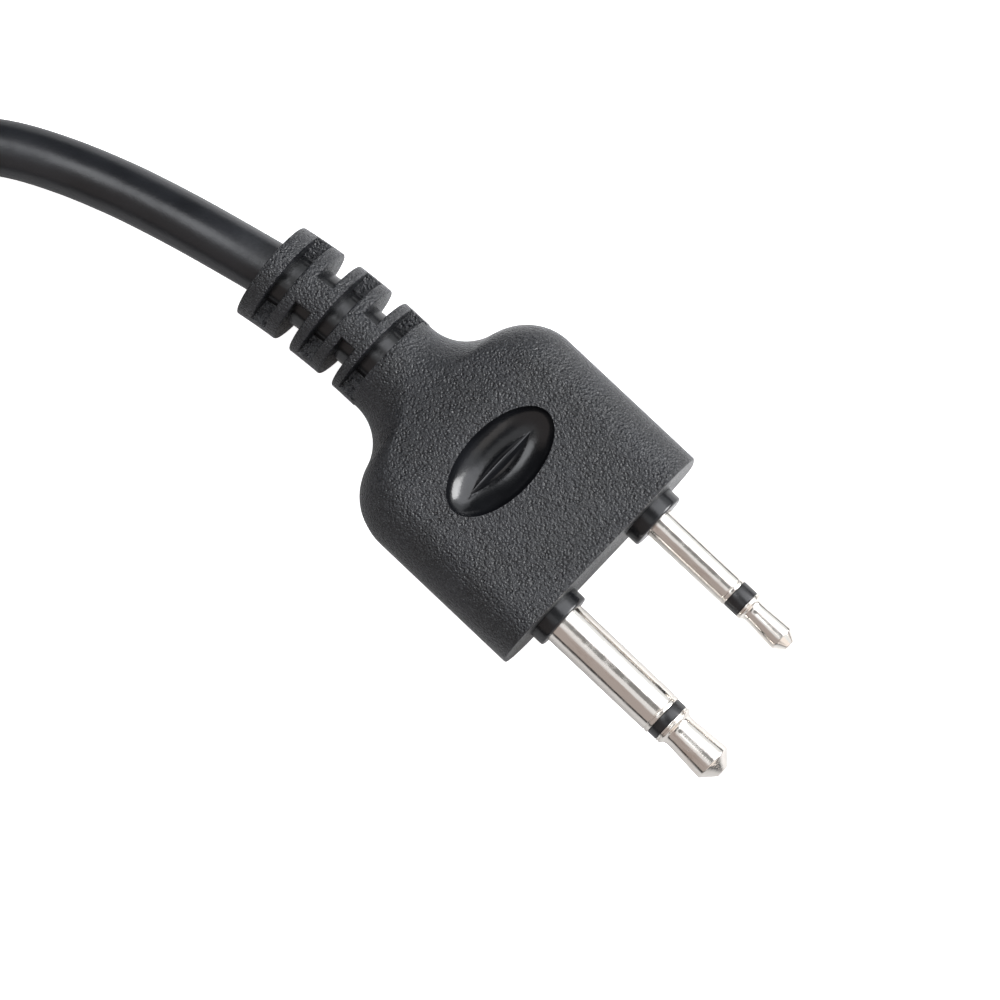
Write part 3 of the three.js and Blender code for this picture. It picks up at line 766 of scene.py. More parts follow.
def soften(piece: bpy.types.Object, width_mm: float, steps: int = 2, angle: float = 35.0) -> None:
    """Round a piece's sharp edges.

    Args:
        piece: what is changed.
        width_mm: the rounding's width.
        steps: its number of facets.
        angle: the least fold, in degrees, that counts as an edge.
    """
    modifier = piece.modifiers.new("soften", "BEVEL")
    modifier.width = width_mm * MM
    modifier.segments = steps
    modifier.limit_method = "ANGLE"
    modifier.angle_limit = math.radians(angle)
    modifier.use_clamp_overlap = True
    settle(piece)


def shade(piece: bpy.types.Object, angle: float = 32.0) -> None:
    """Shade a piece smooth, except where it folds by more than an angle in degrees."""
    piece.data.shade_smooth()
    piece.data.set_sharp_from_angle(angle=math.radians(angle))
    modifier = piece.modifiers.new("even_normals", "WEIGHTED_NORMAL")
    modifier.keep_sharp = True
    modifier.weight = 80
    settle(piece)


def dress(piece: bpy.types.Object, *materials: bpy.types.Material) -> None:
    """Give a piece its materials."""
    piece.data.materials.clear()
    for material in materials:
        piece.data.materials.append(material)


def enter(piece: bpy.types.Object, body: Body, slot: Slot, *replaced: str) -> bpy.types.Object:
    """Put a piece on its body, in place of its CAD nodes, and report it.

    Args:
        piece: the finished piece.
        body: what it rides on.
        slot: the record's slot that its finish belongs to; not used.
        replaced: the CAD nodes that it stands for.

    Returns:
        The piece.
    """
    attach(piece, body.value)
    if replaced:
        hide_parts(*replaced)
    LOG.info("%s rides on %s and replaces %s", piece.name, body.value, ", ".join(replaced) or "nothing")
    return piece


def smoothstep(low: float, high: float, value: float) -> float:
    """Rise smoothly from 0 at low to 1 at high."""
    t = min(1.0, max(0.0, (value - low) / (high - low)))
    return t * t * (3 - 2 * t)


# ------------------------------------------------------------------ plug


@dataclass
class PlugBody:
    """The moulded body: a flat box with round edges, round shoulders, a hollow neck and two dimples."""

    datum: Datum
    half_width: float = 10.3
    half_height: float = 5.0
    edge_radius: float = 3.6
    shoulder_start: float = -13.0
    shoulder_radius: float = 4.6
    neck_radius: float = 4.1
    fillet_radius: float = 4.04
    rear: float = -21.9
    dimple_centre: float = -10.1
    dimple_half: tuple[float, float, float] = (2.72, 5.07, 1.75)
    rib_half_length: float = 3.15
    rib_half_width: float = 0.66
    rib_crest: float = -0.42
    rib_shelf: float = -1.12
    front_edge: float = 0.14
    corner_steps: int = 14

    def _plan(self) -> list[Pair]:
        """Half-widths from the front face to the neck, as (x, half-width)."""
        shoulder_y = self.half_width - self.shoulder_radius
        fillet_y = self.neck_radius + self.fillet_radius
        reach = self.shoulder_radius + self.fillet_radius
        apart = math.sqrt(reach**2 - (fillet_y - shoulder_y) ** 2)
        meet = math.atan2(apart, fillet_y - shoulder_y)
        plan = [(x, self.half_width) for x in (-0.6, -1.5, -3.0, -5.0, -7.0, -9.0, -11.0)]
        steps = 22
        for i in range(steps + 1):
            a = meet * i / steps
            x = self.shoulder_start - self.shoulder_radius * math.sin(a)
            plan.append((x, shoulder_y + self.shoulder_radius * math.cos(a)))
        for i in range(steps - 1, -1, -1):
            a = meet * i / steps
            x = self.shoulder_start - apart + self.fillet_radius * math.sin(a)
            plan.append((x, fillet_y - self.fillet_radius * math.cos(a)))
        plan.append((self.rear, self.neck_radius))
        return plan

    def _section(self, x: float, half_width: float, inset: float = 0.0) -> Ring:
        """One section across the body.

        Args:
            x: where it is.
            half_width: its half-width.
            inset: how far it is drawn in, for the front edge's rounding.

        Returns:
            The ring of points.
        """
        thin = smoothstep(-self.shoulder_start, -self.rear - 1.2, -x)
        half_height = self.half_height + (self.neck_radius - self.half_height) * thin
        corner = self.edge_radius + (self.neck_radius - 0.02 - self.edge_radius) * thin
        corner = min(corner, half_width - 0.02, half_height - 0.02) - inset
        wide, high = half_width - inset - corner, half_height - inset - corner
        ring = []
        for quarter, (side_y, side_z) in enumerate(((1, 1), (-1, 1), (-1, -1), (1, -1))):
            for step in range(self.corner_steps + 1):
                a = (quarter + step / self.corner_steps) * math.pi / 2
                ring.append((x, side_y * wide + corner * math.cos(a), side_z * high + corner * math.sin(a)))
        return ring

    def _shell(self) -> bpy.types.Object:
        """The body before its dimples are cut."""
        arc = edge_arc(self.front_edge)
        rings = [self._section(-behind, self.half_width, inset) for behind, inset in arc]
        rings += [self._section(x, width) for x, width in self._plan()]
        return Surface().skin(rings).piece("plug_body_shell", self.datum)

    def _dimple_tool(self, side: int) -> bpy.types.Object:
        """The ellipsoid that cuts a dimple on one broad face."""
        a, b, depth = self.dimple_half
        rings = []
        levels = 40
        for i in range(1, levels):
            t = math.pi * i / levels
            ring = []
            for j in range(128):
                angle = math.tau * j / 128
                x = self.dimple_centre + a * math.sin(t) * math.cos(angle)
                y = b * math.sin(t) * math.sin(angle)
                ring.append((x, y, side * self.half_height + depth * math.cos(t)))
            rings.append(ring)
        return Surface().skin(rings).piece("dimple_tool", self.datum)

    def _rib(self, side: int) -> bpy.types.Object:
        """The sharp-crested rib in a dimple: upright sides, a narrow shelf and a crest, pointed ends."""
        rings = []
        steps = 28
        foot = -2.6
        for i in range(steps + 1):
            t = -1 + 2 * i / steps
            half = max(0.03, self.rib_half_width * (1 - t * t) ** 0.85)
            crest = self.rib_crest - 0.3 * t * t
            shelf = self.rib_shelf - 0.25 * t * t
            wall = [(half, foot), (half * 0.93, shelf), (half * 0.62, shelf + 0.1)]
            wall.append((half * 0.12 + 0.02, crest))
            outline = [(-x, z) for x, z in wall] + wall[::-1]
            y = t * self.rib_half_length
            rings.append([(self.dimple_centre + x, y, side * (self.half_height + z)) for x, z in outline])
        return Surface().skin(rings).piece("rib_tool", self.datum)

    def build(self, finishes: Finishes) -> bpy.types.Object:
        """Make the body.

        Args:
            finishes: the object's materials.

        Returns:
            The piece.
        """
        body = self._shell()
        body.name = "moulded_plug_body"
        for side in (1, -1):
            carve(body, self._dimple_tool(side))
            carve(body, self._rib(side), Carve.JOIN)
        soften(body, 0.09, 2, 30.0)
        dress(body, finishes.grained, finishes.polished)
        self._polish_dimples(body)
        shade(body, 40.0)
        return enter(body, Body.LEAD, Slot.PLUG, "plug_body")

    def _polish_dimples(self, body: bpy.types.Object) -> None:
        """Give the faces inside the dimples the polished finish."""
        a, b, _ = self.dimple_half
        for face in body.data.polygons:
            place = (face.center - self.datum.origin) / MM
            inside = ((place.x - self.dimple_centre) / a) ** 2 + (place.y / b) ** 2
            if inside < 1.0 and abs(place.z) < self.half_height - 0.035:
                face.material_index = 1


@dataclass
class StrainRelief:
    """Five rings on a slim core, joined by bridges that stand by turns at the sides and at top and bottom."""

    datum: Datum
    start: float = -21.9
    ring_radius: float = 4.15
    core_radius: float = 2.48
    bore_radius: float = 2.22
    bridge_half: float = 1.18
    bend_radius: float = 61.0
    ring_tilt: float = 0.45
    edge: float = 0.13
    wall: float = 0.004
    root: float = -2.5
    rings: tuple[Pair, ...] = ((1.2, 2.0), (3.3, 4.2), (5.4, 6.3), (7.7, 8.7), (9.9, 11.3))

    def _angles(self) -> list[float]:
        """Angles round the axis, closer together where a bridge's side wall starts and ends."""
        outer = math.degrees(math.asin(self.bridge_half / self.ring_radius))
        inner = math.degrees(math.asin(self.bridge_half / self.core_radius))
        angles = {float(a) for a in range(0, 360, 3)}
        for quarter in range(0, 360, 90):
            for edge in (outer, inner):
                for offset in (-0.7, 0.0, 0.7):
                    angles.add((quarter + edge + offset) % 360)
                    angles.add((quarter - edge - offset) % 360)
        ordered = sorted(angles)
        return [math.radians(a) for i, a in enumerate(ordered) if i == 0 or a - ordered[i - 1] > 0.25]

    def _gap_radius(self, angle: float, bridged_sideways: bool) -> float:
        """Radius in a gap: the core, or a bridge with flat sides.

        Args:
            angle: round the axis, from +Y towards +Z.
            bridged_sideways: whether the bridges stand at +Y and -Y.

        Returns:
            The radius.
        """
        across = abs(math.sin(angle)) if bridged_sideways else abs(math.cos(angle))
        wall = self.bridge_half / max(across, 1e-6)
        return min(self.ring_radius, max(self.core_radius, wall))

    def _bent(self, behind: float, radius: float, angle: float) -> Point:
        """A point on the bent relief.

        Args:
            behind: distance behind the body's rear, along the axis.
            radius: distance from the axis.
            angle: round the axis.

        Returns:
            The place in the plug's frame.
        """
        turn = max(0.0, behind) / self.bend_radius
        straight = min(0.0, behind)
        side = radius * math.cos(angle)
        x = self.start - straight - (self.bend_radius + side * self.ring_tilt) * math.sin(turn)
        y = (self.bend_radius + side) * math.cos(turn) - self.bend_radius
        return (x, y, radius * math.sin(angle))

    def _levels(self) -> list[tuple[float, float, int]]:
        """Stations as (distance, ring radius or 0 in a gap, index of the gap it borders)."""
        arc = edge_arc(self.edge)
        levels = [(-0.35, 0.0, 0)]
        for i, (front, rear) in enumerate(self.rings):
            levels.append((front, 0.0, i))
            for along, inset in arc:
                levels.append((front + self.wall + along, self.ring_radius - inset, i))
            for part in (0.35, 0.65):
                levels.append((front + (rear - front) * part, self.ring_radius, i))
            for along, inset in reversed(arc):
                levels.append((rear - self.wall - along, self.ring_radius - inset, i + 1))
            if i + 1 < len(self.rings):
                levels.append((rear, 0.0, i + 1))
                middle = (rear + self.rings[i + 1][0]) / 2
                levels.append((middle, 0.0, i + 1))
        return levels

    def build(self, finishes: Finishes) -> bpy.types.Object:
        """Make the relief.

        Args:
            finishes: the object's materials.

        Returns:
            The piece.
        """
        angles = self._angles()
        end = self.rings[-1][1]
        inside = ((self.root, self.bore_radius), (self.root, self.core_radius), (-0.36, self.core_radius))
        rings = [[self._bent(behind, radius, a) for a in angles] for behind, radius in inside]
        for behind, ring_radius, gap in self._levels():
            sideways = gap % 2 == 0
            last = gap == len(self.rings)
            ring = []
            for a in angles:
                floor = self.core_radius if last else self._gap_radius(a, sideways)
                ring.append(self._bent(behind, max(floor, ring_radius), a))
            rings.append(ring)
        mouth = self.bore_radius + 0.12
        rings.append([self._bent(end, mouth, a) for a in angles])
        for behind in (end - 0.15, 8.0, 4.0, 0.0):
            rings.append([self._bent(behind, self.bore_radius, a) for a in angles])
        relief = Surface().skin(rings, looped=True).piece("slotted_strain_relief", self.datum)
        dress(relief, finishes.grained, finishes.polished)
        self._polish_core(relief)
        shade(relief, 30.0)
        return enter(relief, Body.LEAD, Slot.PLUG, "strain_relief")

    def _polish_core(self, relief: bpy.types.Object) -> None:
        """Give the smooth core between the rings the polished finish."""
        for face in relief.data.polygons:
            place = (face.center - self.datum.origin) / MM
            behind = math.atan2(self.start - place.x, self.bend_radius + place.y)
            off_axis = math.hypot(self.start - place.x, self.bend_radius + place.y) - self.bend_radius
            if behind > 0 and math.hypot(off_axis, place.z) < self.core_radius + 0.05:
                face.material_index = 1

    def exit_point(self) -> Vector:
        """Where the cord leaves the end flange, in metres."""
        return self.datum.point(self.axis_at(self.rings[-1][1]))

    def axis_at(self, behind: float) -> Point:
        """The relief's bent axis, at a distance behind the body."""
        return self._bent(behind, 0.0, 0.0)


@dataclass
class PinMould:
    """The inner mould that carries both pins; its two collars stand out of the front face."""

    datum: Datum
    pitch: float = 10.3
    collar_radius: float = 2.375
    collar_length: float = 1.2
    half_size: Pair = (8.1, 3.1)
    depth: Pair = (-0.95, -6.0)
    collar_root: float = -2.0
    sleeves: tuple[Pair, ...] = ((-1, 1.75), (1, 1.25))

    def build(self, finishes: Finishes) -> bpy.types.Object:
        """Make the mould and its collars.

        Args:
            finishes: the object's materials.

        Returns:
            The piece.
        """
        wide, high = self.half_size
        mould = Surface().block((self.depth[1], -wide, -high), (self.depth[0], wide, high))
        mould = mould.piece("pin_mould_with_collars", self.datum)
        soften(mould, 0.8, 4, 60.0)
        root, end = self.collar_root, self.collar_length
        for side, sleeve in self.sleeves:
            corners = [
                (root, 0.4, 0.0), (root, self.collar_radius, 0.0), (end, self.collar_radius, 0.24),
                (end, sleeve + 0.02, 0.1), (end - 0.35, sleeve - 0.06, 0.0), (0.0, 0.4, 0.0),
            ]
            profile = filleted(corners, 5)
            collar = Surface().turned(profile, 96, (0.0, side * self.pitch / 2, 0.0))
            carve(mould, collar.piece("collar_tool", self.datum), Carve.JOIN)
        dress(mould, finishes.polished)
        shade(mould, 40.0)
        return enter(mould, Body.LEAD, Slot.PLUG, "inner_mould")


@dataclass
class JackPin:
    """One pin: plated sleeve, black ring, and plated tip with its shoulder, waist, swelling and cone."""

    datum: Datum
    name: str
    y: float
    sleeve_radius: float
    sleeve_end: float
    ring_end: float
    ring_radius: float
    shoulder_end: float
    shoulder_radius: float
    waist_radius: float
    swell_at: float
    swell_radius: float
    end: float
    end_radius: float

    def _sleeve(self) -> list[Pair]:
        """The sleeve's profile, with a fine line turned near its end."""
        r, end, bore = self.sleeve_radius, self.sleeve_end, self.sleeve_radius - 0.5
        line = end - 0.36
        corners = [
            (-3.0, bore, 0.0), (-3.0, r, 0.0), (line - 0.07, r, 0.03), (line - 0.03, r - 0.045, 0.01),
            (line + 0.03, r - 0.045, 0.01), (line + 0.07, r, 0.03), (end, r, 0.09), (end, bore, 0.0),
            (-3.0, bore, 0.0),
        ]
        return filleted(corners, 4)

    def _ring(self) -> list[Pair]:
        """The insulating ring's profile."""
        bore, low, high = self.end_radius * 0.8, self.sleeve_end - 0.6, self.ring_end + 0.02
        inner = self.sleeve_radius - 0.52
        corners = [
            (low, bore, 0.0), (low, inner, 0.0), (self.sleeve_end + 0.01, inner, 0.0),
            (self.sleeve_end + 0.01, self.ring_radius, 0.06), (high, self.ring_radius, 0.06),
            (high, bore, 0.0), (low, bore, 0.0),
        ]
        return filleted(corners, 3)

    def _tip(self) -> list[Pair]:
        """The tip's profile, from the shoulder to the flat end."""
        root, start = self.ring_end - 0.6, self.ring_end + 0.03
        waist_at = self.shoulder_end + 0.42
        rod = self.end_radius * 0.78
        line = self.ring_end + 0.17
        return filleted([
            (root, 0.0, 0.0), (root, rod, 0.0), (start, rod, 0.0),
            (start, self.shoulder_radius, 0.05), (line, self.shoulder_radius, 0.02),
            (line + 0.04, self.shoulder_radius - 0.05, 0.01), (line + 0.08, self.shoulder_radius, 0.02),
            (self.shoulder_end - 0.05, self.shoulder_radius, 0.1),
            (self.shoulder_end + 0.12, self.waist_radius + 0.1, 0.08), (waist_at, self.waist_radius, 0.3),
            (self.swell_at, self.swell_radius, 0.1), (self.end, self.end_radius, 0.12), (self.end, 0.0, 0.0),
        ], 5)

    def build(self, finishes: Finishes) -> list[bpy.types.Object]:
        """Make the pin's three seen pieces.

        Args:
            finishes: the object's materials.

        Returns:
            The pieces.
        """
        made = []
        for part, profile, slot in (
            ("sleeve", self._sleeve(), Slot.NICKEL),
            ("insulator", self._ring(), Slot.INSULATOR),
            ("tip", self._tip(), Slot.NICKEL),
        ):
            piece = Surface().turned(profile, 128, (0.0, self.y, 0.0))
            piece = piece.piece(f"{self.name}_jack_{part}", self.datum)
            dress(piece, finishes.by_slot[slot])
            shade(piece, 28.0)
            made.append(enter(piece, Body.LEAD, slot, f"{self.name}_pin_{part}"))
        return made


# ------------------------------------------------------------------ cord


def carried(points: Sequence[Vector], steps: int) -> list[Vector]:
    """Carry a smooth curve through points.

    Args:
        points: what it passes through.
        steps: how many pieces each stretch gets.

    Returns:
        Points along the curve.
    """
    line = []
    for i in range(len(points) - 1):
        before = points[i - 1] if i else points[i] * 2 - points[i + 1]
        here, there = points[i], points[i + 1]
        after = points[i + 2] if i + 2 < len(points) else there * 2 - here
        for step in range(steps):
            t = step / steps
            line.append(0.5 * (
                here * 2 + (there - before) * t + (before * 2 - here * 5 + there * 4 - after) * t * t
                + (here * 3 - before - there * 3 + after) * t**3
            ))
    line.append(points[-1])
    return line


@dataclass
class Cord:
    """The free cord: down from the relief, round to a tied hank in line with the plug, and into the boot."""

    datum: Datum
    relief: StrainRelief
    radius: float = 2.2
    floor: float = -5.0
    near_x: float = -80.5
    run: float = 80.0
    centre_y: float = -9.0
    columns: Pair = (15.4, 11.0)
    tie_x: float = -115.5
    tie_half: float = 6.0
    tie_lift: float = 0.8

    @property
    def lying(self) -> float:
        """Height of the centreline where the cord lies on the surface."""
        return self.floor + self.radius + 0.05

    def _lead(self) -> list[Point]:
        """From inside the end flange, down to the surface and round to the hank's first turn."""
        low = self.lying
        return [
            self.relief.axis_at(9.6),
            self.relief.axis_at(11.3),
            (-36.4, -1.78, -0.15),
            (-39.8, -2.57, -0.6),
            (-43.1, -3.4, -1.3),
            (-46.4, -4.35, -2.0),
            (-50.4, -5.8, -2.6),
            (-54.3, -7.7, low),
            (-57.6, -10.1, low),
            (-60.2, -12.7, low),
            (-63.8, -17.0, low),
            (-68.3, -20.9, low),
            (-74.0, -23.5, low),
        ]

    def _tail(self) -> list[Point]:
        """Off the last turn, over the turn beside it, and down into the connector's boot."""
        y = self.centre_y
        return [
            (-156.2, y + 15.35, 1.95),
            (-151.4, y + 14.3, 4.0),
            (-146.2, y + 11.7, 6.35),
            (-142.7, y + 9.5, 6.3),
            (-139.6, y + 7.4, 5.6),
            (-136.4, y + 5.4, 4.3),
            (-133.0, y + 3.4, 2.9),
            (-129.5, y + 1.7, 1.9),
            (-126.0, y + 0.6, 1.55),
            (-121.8, y, 1.5),
            (-118.0, y, 1.5),
        ]

    def _column(self, turn: int, side: int, t: float) -> float:
        """Radius of a turn's folds: the first turn is the outer one and works in, the last works out.

        Args:
            turn: which turn, from 0.
            side: 0 the run away from the plug, 1 the far fold, 2 the run back, 3 the near fold.
            t: how far along that side, 0 to 1.

        Returns:
            The radius.
        """
        outer, inner = self.columns
        if turn == 0:
            inward = smoothstep(0.5, 1.0, t) if side == 3 else 0.0
        elif turn == 2:
            inward = 1.0 - smoothstep(0.6, 1.0, t) if side == 2 else float(side < 2)
        else:
            inward = 1.0 if turn == 1 else 0.0
        return outer + (inner - outer) * inward

    def _layer(self, turn: int, side: int, t: float) -> float:
        """Layer of a turn: it climbs from 0 to 1 in the first half of the second turn's near fold."""
        if turn == 1 and side == 3:
            return smoothstep(0.0, 0.5, t)
        return float(turn > 1)

    def _turns(self) -> list[Point]:
        """The hank's three and a half turns."""
        places = []
        steps = {0: 7, 1: 12, 2: 7, 3: 12}
        sides = [(turn, side) for turn in range(4) for side in range(4)][:14]
        for turn, side in sides:
            for step in range(steps[side]):
                t = step / steps[side]
                radius = self._column(turn, side, t)
                x, y = self._on_track(side, t, radius)
                height = self.lying + 2 * self.radius * self._layer(turn, side, t) + self._lift(x)
                places.append((x, self.centre_y + y, height))
        x, y = self._on_track(1, 1.0, self.columns[0])
        return [*places, (x, self.centre_y + y, self.lying + 2 * self.radius)]

    def _on_track(self, side: int, t: float, radius: float) -> Pair:
        """A place on the race track round the hank's middle line."""
        far_x = self.near_x - self.run
        a = math.pi * t
        if side == 0:
            return self.near_x - self.run * t, -radius
        if side == 1:
            return far_x - radius * math.sin(a), -radius * math.cos(a)
        if side == 2:
            return far_x + self.run * t, radius
        return self.near_x + radius * math.sin(a), radius * math.cos(a)

    def _lift(self, x: float) -> float:
        """How far the strap under the hank lifts the turns."""
        off = abs(x - self.tie_x)
        return self.tie_lift * (1.0 - smoothstep(self.tie_half, self.tie_half + 9.0, off))

    def route(self) -> list[Vector]:
        """The whole centreline, in metres."""
        places = [*self._lead(), *self._turns(), *self._tail()]
        return carried([self.datum.point(p) for p in places], 6)

    def build(self, finishes: Finishes) -> bpy.types.Object:
        """Make the cord as one curve.

        Args:
            finishes: the object's materials.

        Returns:
            The piece.
        """
        line = self.route()
        curve = bpy.data.curves.new("black_round_cord", "CURVE")
        curve.dimensions = "3D"
        curve.bevel_depth = self.radius * MM
        curve.bevel_resolution = 8
        curve.use_fill_caps = True
        spline = curve.splines.new("POLY")
        spline.points.add(len(line) - 1)
        for point, place in zip(spline.points, line):
            point.co = (*place, 1.0)
        spline.use_smooth = True
        cord = bpy.data.objects.new("black_round_cord", curve)
        bpy.context.scene.collection.objects.link(cord)
        curve.materials.append(finishes.by_slot[Slot.JACKET])
        return enter(cord, Body.LEAD, Slot.JACKET, "cord_lead", "cord_hank", "cord_tail")

    def declare(self) -> None:
        """Log the cord's length.
        """
        line = self.route()
        length = sum((b - a).length for a, b in zip(line, line[1:]))
        LOG.info("cord length %.3f m", length)
        tuple(self.relief.exit_point())


@dataclass
class HankTie:
    """The hook-and-loop strap round the hank, its loose end pressed back on itself."""

    datum: Datum
    cord: Cord
    thickness: float = 0.6
    width: float = 12.0
    side: float = 18.0
    height: float = 9.5
    crown: float = 11.55

    def _outline(self, grow: float) -> list[Pair]:
        """The strap's line round the hank, as (y, z) from the hank's middle on the surface."""
        side, low = self.side + grow, 0.65 - grow
        corners = [
            (0.0, low, 0.0), (side, low, 1.0 + grow), (side, self.height + grow, 2.4 + grow),
            (side * 0.45, self.crown - 0.5 + grow, 4.0), (0.0, self.crown + 0.1 + grow, 3.0),
            (-side * 0.45, self.crown - 0.5 + grow, 4.0), (-side, self.height + grow, 2.4 + grow),
            (-side, low, 1.0 + grow), (0.0, low, 0.0),
        ]
        return filleted(corners, 8)[:-1]

    def build(self, finishes: Finishes) -> bpy.types.Object:
        """Make the strap.

        Args:
            finishes: the object's materials.

        Returns:
            The piece.
        """
        datum = Datum(self.datum.point((self.cord.tie_x, self.cord.centre_y, self.cord.floor)))
        inner, outer = self._outline(0.0), self._outline(self.thickness)
        half = self.width / 2
        rings = []
        for (inner_y, inner_z), (outer_y, outer_z) in zip(inner, outer):
            rings.append([
                (-half, inner_y, inner_z), (half, inner_y, inner_z), (half, outer_y, outer_z),
                (-half, outer_y, outer_z),
            ])
        strap = Surface().skin(rings, looped=True)
        strap.skin(self._loose_end())
        tie = strap.piece("hank_strap", datum)
        soften(tie, 0.18, 2, 50.0)
        dress(tie, finishes.by_slot[Slot.STRAP])
        shade(tie, 50.0)
        return enter(tie, Body.LEAD, Slot.STRAP, "hank_tie")

    def _loose_end(self) -> list[Ring]:
        """The strap's second layer on the +Y side, which narrows to a round end."""
        under = self._outline(self.thickness - 0.08)
        over = self._outline(self.thickness * 2 - 0.15)
        picked = [i for i, (y, z) in enumerate(under) if y > 1.0 and z > 3.0]
        rings = []
        for n, i in enumerate(picked):
            t = n / (len(picked) - 1)
            half = self.width / 2 * math.sqrt(max(0.05, 1 - max(0.0, (t - 0.82) / 0.18) ** 2)) - 0.25
            rings.append([
                (-half, *under[i]), (half, *under[i]), (half, *over[i]), (-half, *over[i]),
            ])
        return rings


# ------------------------------------------------------------------ connector


@dataclass
class Connector:
    """The keyed five-way quick-release connector on the cord's far end."""

    datum: Datum
    boot_length: float = 14.0
    boot_bore: float = 2.3
    boot_rear: float = 3.0
    boot_taper: float = 0.1
    rib_spacing: float = 2.4
    rib_width: float = 1.5
    rib_depth: float = 0.6
    nut_bore: float = 3.8
    nut_front: float = 23.5
    nut_rear: float = 14.15
    knurls: int = 48
    shell_radius: float = 6.4
    shell_bore: float = 5.25
    shell_rear: float = 20.1
    step: float = 37.5
    nose_radius: float = 5.1
    nose_bore: float = 4.45
    front: float = 45.5
    insert_rear: float = 29.0
    insert_front: float = 45.3
    insert_radius: float = 4.35
    insert_flat: float = 2.05
    contact_circle: float = 2.6
    contact_spacing: float = math.tau / 6.4
    contact_front: float = 44.6
    contact_rear: float = 26.0
    contact_radius: float = 0.72
    contact_bore: float = 0.45
    contacts: int = 5
    button_middle: float = 31.5
    button_half: Pair = (3.2, 2.2)
    button_low: float = 3.15
    button_top: float = 7.3
    arm_half: float = 1.1
    arm_front: float = 42.6

    def _turned(self, name: str, corners: Sequence[Corner], around: int = 96,
                centre: Point = (0, 0, 0)) -> bpy.types.Object:
        """A turned piece with rounded corners."""
        return Surface().turned(filleted(corners, 4), around, centre).piece(name, self.datum)

    def _finished(self, piece: bpy.types.Object, finishes: Finishes, slot: Slot, node: str,
                  body: Body = Body.LEAD, angle: float = 32.0) -> bpy.types.Object:
        """Dress, shade and enter a piece.

        Args:
            piece: the piece.
            finishes: the object's materials.
            slot: its finish.
            node: the CAD node that it replaces.
            body: what it rides on.
            angle: its shading angle, in degrees.

        Returns:
            The piece.
        """
        dress(piece, finishes.by_slot[slot])
        shade(piece, angle)
        return enter(piece, body, slot, node)

    def _boot(self) -> bpy.types.Object:
        """The tapered boot, with round-edged grooves."""
        length, bore = self.boot_length, self.boot_bore
        corners = [(length, bore, 0.0), (length, 5.0, 0.3), (12.5, 5.0, 0.3), (12.5, 3.75, 0.15)]
        x = 11.6
        while x > 2.6:
            rear = x - self.rib_width
            high, low = (self.boot_rear + self.boot_taper * place for place in (x, rear))
            corners += [(x, high - self.rib_depth, 0.15), (x, high, 0.25), (rear, low, 0.25),
                        (rear, low - self.rib_depth, 0.15)]
            x -= self.rib_spacing
        corners += [(0.0, self.boot_rear, 0.5), (0.0, bore, 0.1), (length, bore, 0.0)]
        return self._turned("tapered_boot", corners)

    def _back_nut(self) -> bpy.types.Object:
        """The nut behind the shell: fine straight knurl, two flats."""
        around = 4 * self.knurls
        radius, bore, front, rear = self.shell_radius, self.nut_bore, self.nut_front, self.nut_rear
        rim = radius - 0.05
        stations = [
            (front, bore, 0.0), (front, 5.1, 0.0), (20.05, 5.1, 0.0), (20.05, radius - 0.35, 0.0),
            (19.75, rim, 0.0), (19.2, rim, 0.0), (19.0, rim, 0.16), (17.0, rim, 0.16), (16.8, rim, 0.0),
            (15.2, rim, 0.0), (14.5, radius - 0.5, 0.0), (rear, radius - 0.9, 0.0), (rear, bore, 0.0),
        ]
        rings = []
        for x, r, knurl in stations:
            ring = []
            for j in range(around):
                a = math.tau * j / around
                depth = knurl * (0.5 - 0.5 * math.cos(a * self.knurls))
                ring.append((x, (r - depth) * math.cos(a), (r - depth) * math.sin(a)))
            rings.append(ring)
        nut = Surface().skin(rings, looped=True).piece("knurled_back_nut", self.datum)
        for side in (1, -1):
            low, high = sorted((side * (radius - 0.5), side * (radius + 2)))
            carve(nut, Surface().block((12.0, low, -9.0), (16.6, high, 9.0)).piece("flat_tool", self.datum))
        return nut

    def _shell(self) -> bpy.types.Object:
        """The shell: grip grooves, a step down to the nose, and openings for button, catch and key."""
        r, nose, front, step = self.shell_radius, self.nose_radius, self.front, self.step
        corners = [(front, self.nose_bore, 0.0), (front, nose, 0.35), (step, nose, 0.1), (step, r, 0.5)]
        for groove in (27.0, 25.6, 24.2):
            corners += [(groove, r, 0.12), (groove - 0.15, r - 0.3, 0.1), (groove - 0.55, r - 0.3, 0.1),
                        (groove - 0.7, r, 0.12)]
        corners += [
            (self.shell_rear, r, 0.3), (self.shell_rear, self.shell_bore, 0.0),
            (36.0, self.shell_bore, 0.0), (36.8, self.nose_bore, 0.0), (front, self.nose_bore, 0.0),
        ]
        shell = self._turned("keyed_shell", corners, 128)
        for low, high in (
            ((28.15, -2.35, 2.0), (34.85, 2.35, 9.0)),
            ((40.25, -1.25, 2.0), (42.75, 1.25, 9.0)),
            ((38.3, -0.7, -7.0), (47.0, 0.7, -4.75)),
        ):
            carve(shell, Surface().block(low, high).piece("opening_tool", self.datum))
        soften(shell, 0.1, 2, 40.0)
        return shell

    def contact_places(self) -> list[Pair]:
        """Where the contacts stand, as (y, z)."""
        places = []
        for i in range(self.contacts):
            a = -math.pi / 2 + (i - 2) * self.contact_spacing
            places.append((self.contact_circle * math.cos(a), self.contact_circle * math.sin(a)))
        return places

